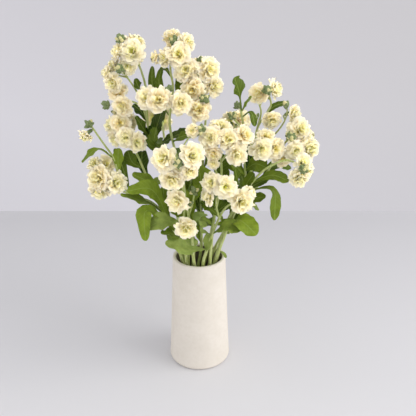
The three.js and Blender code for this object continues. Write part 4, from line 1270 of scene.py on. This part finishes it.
def flat_panel(name, material, side, near, far):
    """A flat panel of the stage, from one line to another, each given as (y, z), and as wide to each
    side."""
    corners = [(-side, *near), (side, *near), (side, *far), (-side, *far)]
    mesh = bpy.data.meshes.new(name)
    mesh.from_pydata(corners, [], [(0, 1, 2, 3)])
    mesh.materials.append(material)
    panel = bpy.data.objects.new(name, mesh)
    bpy.context.scene.collection.objects.link(panel)
    return panel


class STOCK_OT_stage(bpy.types.Operator):
    """Sets the camera, the table with the wall behind it, and the light of a window on the right"""

    bl_idname = "stock.stage"
    bl_label = "Stage and Camera"

    def execute(self, context):
        look = context.scene.stock.stage
        scene = context.scene
        camera = bpy.data.objects.new("Camera", bpy.data.cameras.new("Camera"))
        camera.location = CAMERA_PLACE
        camera.rotation_euler = (np.radians(CAMERA_TILT), 0, 0)
        camera.data.lens = LENS
        camera.data.sensor_width = SENSOR
        scene.collection.objects.link(camera)
        scene.camera = camera

        table = flat_panel("table", table_laminate(look), TABLE_SIDE, (-TABLE_SIDE, 0), (TABLE_EDGE, 0))
        low, high = (WALL_BEHIND, WALL_FOOT), (WALL_BEHIND, WALL_TOP)
        wall = flat_panel("wall", wall_paint(look), WALL_SIDE, low, high)

        window = bpy.data.objects.new("Window", bpy.data.lights.new("Window", "AREA"))
        window.data.size = WINDOW_SIZE
        window.data.energy = look.key
        window.data.color = WINDOW_COLOUR
        window.location = WINDOW_PLACE
        window.rotation_euler = Vector(LIT_PLACE - WINDOW_PLACE).to_track_quat("-Z", "Y").to_euler()
        scene.collection.objects.link(window)

        scene.world = scene.world or bpy.data.worlds.new("World")
        scene.world.use_nodes = True
        background = scene.world.node_tree.nodes["Background"]
        background.inputs["Color"].default_value = (*look.around, 1.0)
        background.inputs["Strength"].default_value = look.fill
        scene.view_settings.view_transform = "Standard"
        return {"FINISHED"}


def outer_radius(height):
    """The vase's outside: it narrows from foot to mouth with a slight swelling."""
    return MOUTH_RADIUS + (FOOT_RADIUS - MOUTH_RADIUS) * (1 - height / VASE_HEIGHT) ** 1.1


# The radius of the floor's flat part inside.
FLOOR_EDGE = outer_radius(FLOOR_THICKNESS + FLOOR_FILLET) - WALL - FLOOR_FILLET
NEAR_AXIS = 1 * MM  # radius of a profile's ends, which its poles close
VASE_RING, WATER_LOW_RING, WATER_TOP_RING = 20 * MM, 15 * MM, 12 * MM  # radii that split the flat parts
CLEAR_OF_FOOT, CLEAR_OF_LIP = 1.3, 1.5  # where the wall's points start and end, in radii of the roundings
CREEP_HEIGHT = 1.2 * MM  # how far the water climbs the wall
CREEP_WIDTH = 1.5 * MM  # the distance from the wall in which that falls to a third
CREEP_STARTS, CREEP_ENDS = 0.3 * MM, 6 * MM  # from the wall


class STOCK_OT_vase(bpy.types.Operator):
    """Turns the vase from its profile: a flat foot, a swelling wall, a rounded lip and the inside"""

    bl_idname = "stock.vase"
    bl_label = "Vase"

    def execute(self, context):
        look = context.scene.stock.vase
        lip = look.lip
        highest = VASE_HEIGHT - lip * CLEAR_OF_LIP
        rising = np.linspace(FOOT_ROUNDING * CLEAR_OF_FOOT, highest, 40)
        falling = np.linspace(highest, FLOOR_THICKNESS + FLOOR_FILLET * CLEAR_OF_FOOT, 24)
        rim = outer_radius(VASE_HEIGHT)
        profile = [(NEAR_AXIS, 0), (VASE_RING, 0)]
        profile += arc((FOOT_RADIUS - FOOT_ROUNDING, FOOT_ROUNDING), FOOT_ROUNDING, -90, 0, 9)
        profile += list(zip(outer_radius(rising), rising))
        profile += arc((rim - lip, VASE_HEIGHT - lip), lip, 0, 90, 7)
        profile += arc((rim - WALL + lip, VASE_HEIGHT - lip), lip, 90, 180, 7)
        lip_ends = len(profile)
        profile += list(zip(outer_radius(falling) - WALL, falling))
        profile += arc((FLOOR_EDGE, FLOOR_THICKNESS + FLOOR_FILLET), FLOOR_FILLET, 0, -90, 7)
        profile += [(VASE_RING, FLOOR_THICKNESS), (NEAR_AXIS, FLOOR_THICKNESS)]
        # Marks the inside, from the lip down, for its painted shade.
        inside = (np.arange(len(profile)) >= lip_ends)[None, :, None] * 1.0
        body = loft(turned(profile, segments=144)[None], inside=inside)
        piece("vase_body", stoneware(look), ["vase"], [body])
        return {"FINISHED"}


class STOCK_OT_water(bpy.types.Operator):
    """Fills the vase with water, whose surface creeps up the wall at its edge"""

    bl_idname = "stock.water"
    bl_label = "Water"

    def execute(self, context):
        low = FLOOR_THICKNESS + RESTING_GAP
        heights = np.linspace(low + FLOOR_FILLET, WATER_LEVEL + CREEP_HEIGHT, 20)
        side = list(zip(outer_radius(heights) - WALL - RESTING_GAP, heights))
        inwards = np.linspace(CREEP_STARTS, CREEP_ENDS, 8)
        creep = WATER_LEVEL + CREEP_HEIGHT * np.exp(-inwards / CREEP_WIDTH)
        profile = [(NEAR_AXIS, low), (WATER_LOW_RING, low)]
        profile += arc((FLOOR_EDGE - RESTING_GAP, low + FLOOR_FILLET), FLOOR_FILLET, -90, -10, 6)
        profile += side
        profile += list(zip(side[-1][0] - inwards, creep))
        profile += [(WATER_TOP_RING, WATER_LEVEL), (NEAR_AXIS, WATER_LEVEL)]
        piece("water_body", fresh_water(), ["water"], [loft(turned(profile, segments=96)[None])])
        return {"FINISHED"}


class STOCK_OT_stems(bpy.types.Operator):
    """Grows each spray's stem, its shoots, and a stalk with its calyx for every bloom"""

    bl_idname = "stock.stems"
    bl_label = "Stems"

    def execute(self, context):
        sizes = context.scene.stock.stems
        material = green_stem(sizes)
        for name, spray in SPRAYS.items():
            lines = growing_lines(spray)
            places = np.vstack(lines)
            skins = stem_skins(lines, sizes)
            skins += [stalk_skin(places, bloom, sizes) for bloom in spray["blooms"]]
            piece(f"stems_{name}", material, [f"spray_{name}"], skins)
        return {"FINISHED"}


class STOCK_OT_leaves(bpy.types.Operator):
    """Grows each spray's waved leaves, and the small ones that fill the bunch"""

    bl_idname = "stock.leaves"
    bl_label = "Leaves"

    def execute(self, context):
        sizes = context.scene.stock.leaves
        material = downy_leaf(sizes)
        for i, (name, spray) in enumerate(SPRAYS.items()):
            draw, rng = seeded(PART_SEED + i), np.random.default_rng(LEAF_SEED + i)
            for _ in range((1 + PETALS_DRAWN) * len(spray["blooms"])):
                draw()  # the part draws for its blooms first
            places = np.vstack(growing_lines(spray))
            skins = []
            for leaf in spray["leaves"]:
                _, (_, back, height), *_ = leaf
                roll = (draw() - 0.5) * LEAF_ROLL
                # Painted shade: leaves higher up and further back in the bunch are given less lightness.
                usual = np.interp(height, *LIGHTNESS_BY_HEIGHT) - SHADED * (back > SHADED_FROM)
                light = float(np.clip(usual + rng.uniform(-LIGHTNESS_VARIES, LIGHTNESS_VARIES), 0, 1))
                skins.append(leaf_skin(nearest(places, in_metres(leaf[0])), leaf, roll, light, sizes, rng))
            # A fill leaf's low lightness deep in the bunch is painted shade.
            for *leaf, light in FILL_LEAVES.get(name, ()):
                roll = rng.uniform(-0.25, 0.25) * LEAF_ROLL
                skins.append(leaf_skin(nearest(places, in_metres(leaf[0])), leaf, roll, light, sizes, rng))
            piece(f"leaves_{name}", material, [f"spray_{name}"], skins)
        return {"FINISHED"}


class STOCK_OT_buds(bpy.types.Operator):
    """Sets each spray's clusters of closed buds"""

    bl_idname = "stock.buds"
    bl_label = "Buds"

    def execute(self, context):
        material = downy_bud(context.scene.stock.buds)
        for i, (name, spray) in enumerate(SPRAYS.items()):
            skins = bud_skins(spray, np.random.default_rng(BUD_SEED + i))
            piece(f"buds_{name}", material, [f"spray_{name}"], skins)
        return {"FINISHED"}


class STOCK_OT_blooms(bpy.types.Operator):
    """Opens the double blooms, one object for each head of blooms that press against each other"""

    bl_idname = "stock.blooms"
    bl_label = "Blooms"

    def execute(self, context):
        sizes = context.scene.stock.blooms
        material = double_petal(sizes)
        heads = {}
        for i, (name, spray) in enumerate(SPRAYS.items()):
            draw, rng = seeded(PART_SEED + i), np.random.default_rng(BLOOM_SEED + i)
            head = spray.get("head", name)
            for bloom in spray["blooms"]:
                spin = 2 * np.pi * draw()
                for _ in range(PETALS_DRAWN):
                    draw()
                skins = bloom_skins(bloom, spin, FLUSHED_HEADS.get(head, 0.0), sizes, rng)
                heads.setdefault(head, []).extend(skins)
        for head, skins in heads.items():
            nodes = [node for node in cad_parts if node.rpartition("_")[0] == f"blooms_{head}"]
            piece(f"petals_{head}", material, nodes, skins)
        return {"FINISHED"}


class STOCK_PT_panel(bpy.types.Panel):
    """Lists the settings and the operators"""

    bl_label = "Stock in a Vase"
    bl_idname = "STOCK_PT_panel"
    bl_space_type = "VIEW_3D"
    bl_region_type = "UI"
    bl_category = "Stock"

    def draw(self, context):
        settings = context.scene.stock
        for operator, group in OPERATORS.items():
            box = self.layout.box()
            box.operator(operator.bl_idname)
            if group:
                for key in getattr(settings, group).__annotations__:
                    box.prop(getattr(settings, group), key)


# Each operator, in the order they run, with the settings it reads.
OPERATORS = {
    STOCK_OT_stage: "stage",
    STOCK_OT_vase: "vase",
    STOCK_OT_water: None,
    STOCK_OT_stems: "stems",
    STOCK_OT_leaves: "leaves",
    STOCK_OT_buds: "buds",
    STOCK_OT_blooms: "blooms",
}

CLASSES = (
    VaseSettings,
    StemSettings,
    LeafSettings,
    BudSettings,
    BloomSettings,
    StageSettings,
    StockSettings,
    *OPERATORS,
    STOCK_PT_panel,
)


def register():
    """Adds the classes and the scene's settings to Blender."""
    for each in CLASSES:
        bpy.utils.register_class(each)
    bpy.types.Scene.stock = PointerProperty(type=StockSettings)


def unregister():
    """Takes them out again, in the opposite order."""
    del bpy.types.Scene.stock
    for each in reversed(CLASSES):
        bpy.utils.unregister_class(each)


def main():
    """Makes every group of pieces in order."""
    register()
    bpy.ops.stock.stage()
    bpy.ops.stock.vase()
    bpy.ops.stock.water()
    bpy.ops.stock.stems()
    bpy.ops.stock.leaves()
    bpy.ops.stock.buds()
    bpy.ops.stock.blooms()
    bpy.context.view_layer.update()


if __name__ == "__main__":
    main()
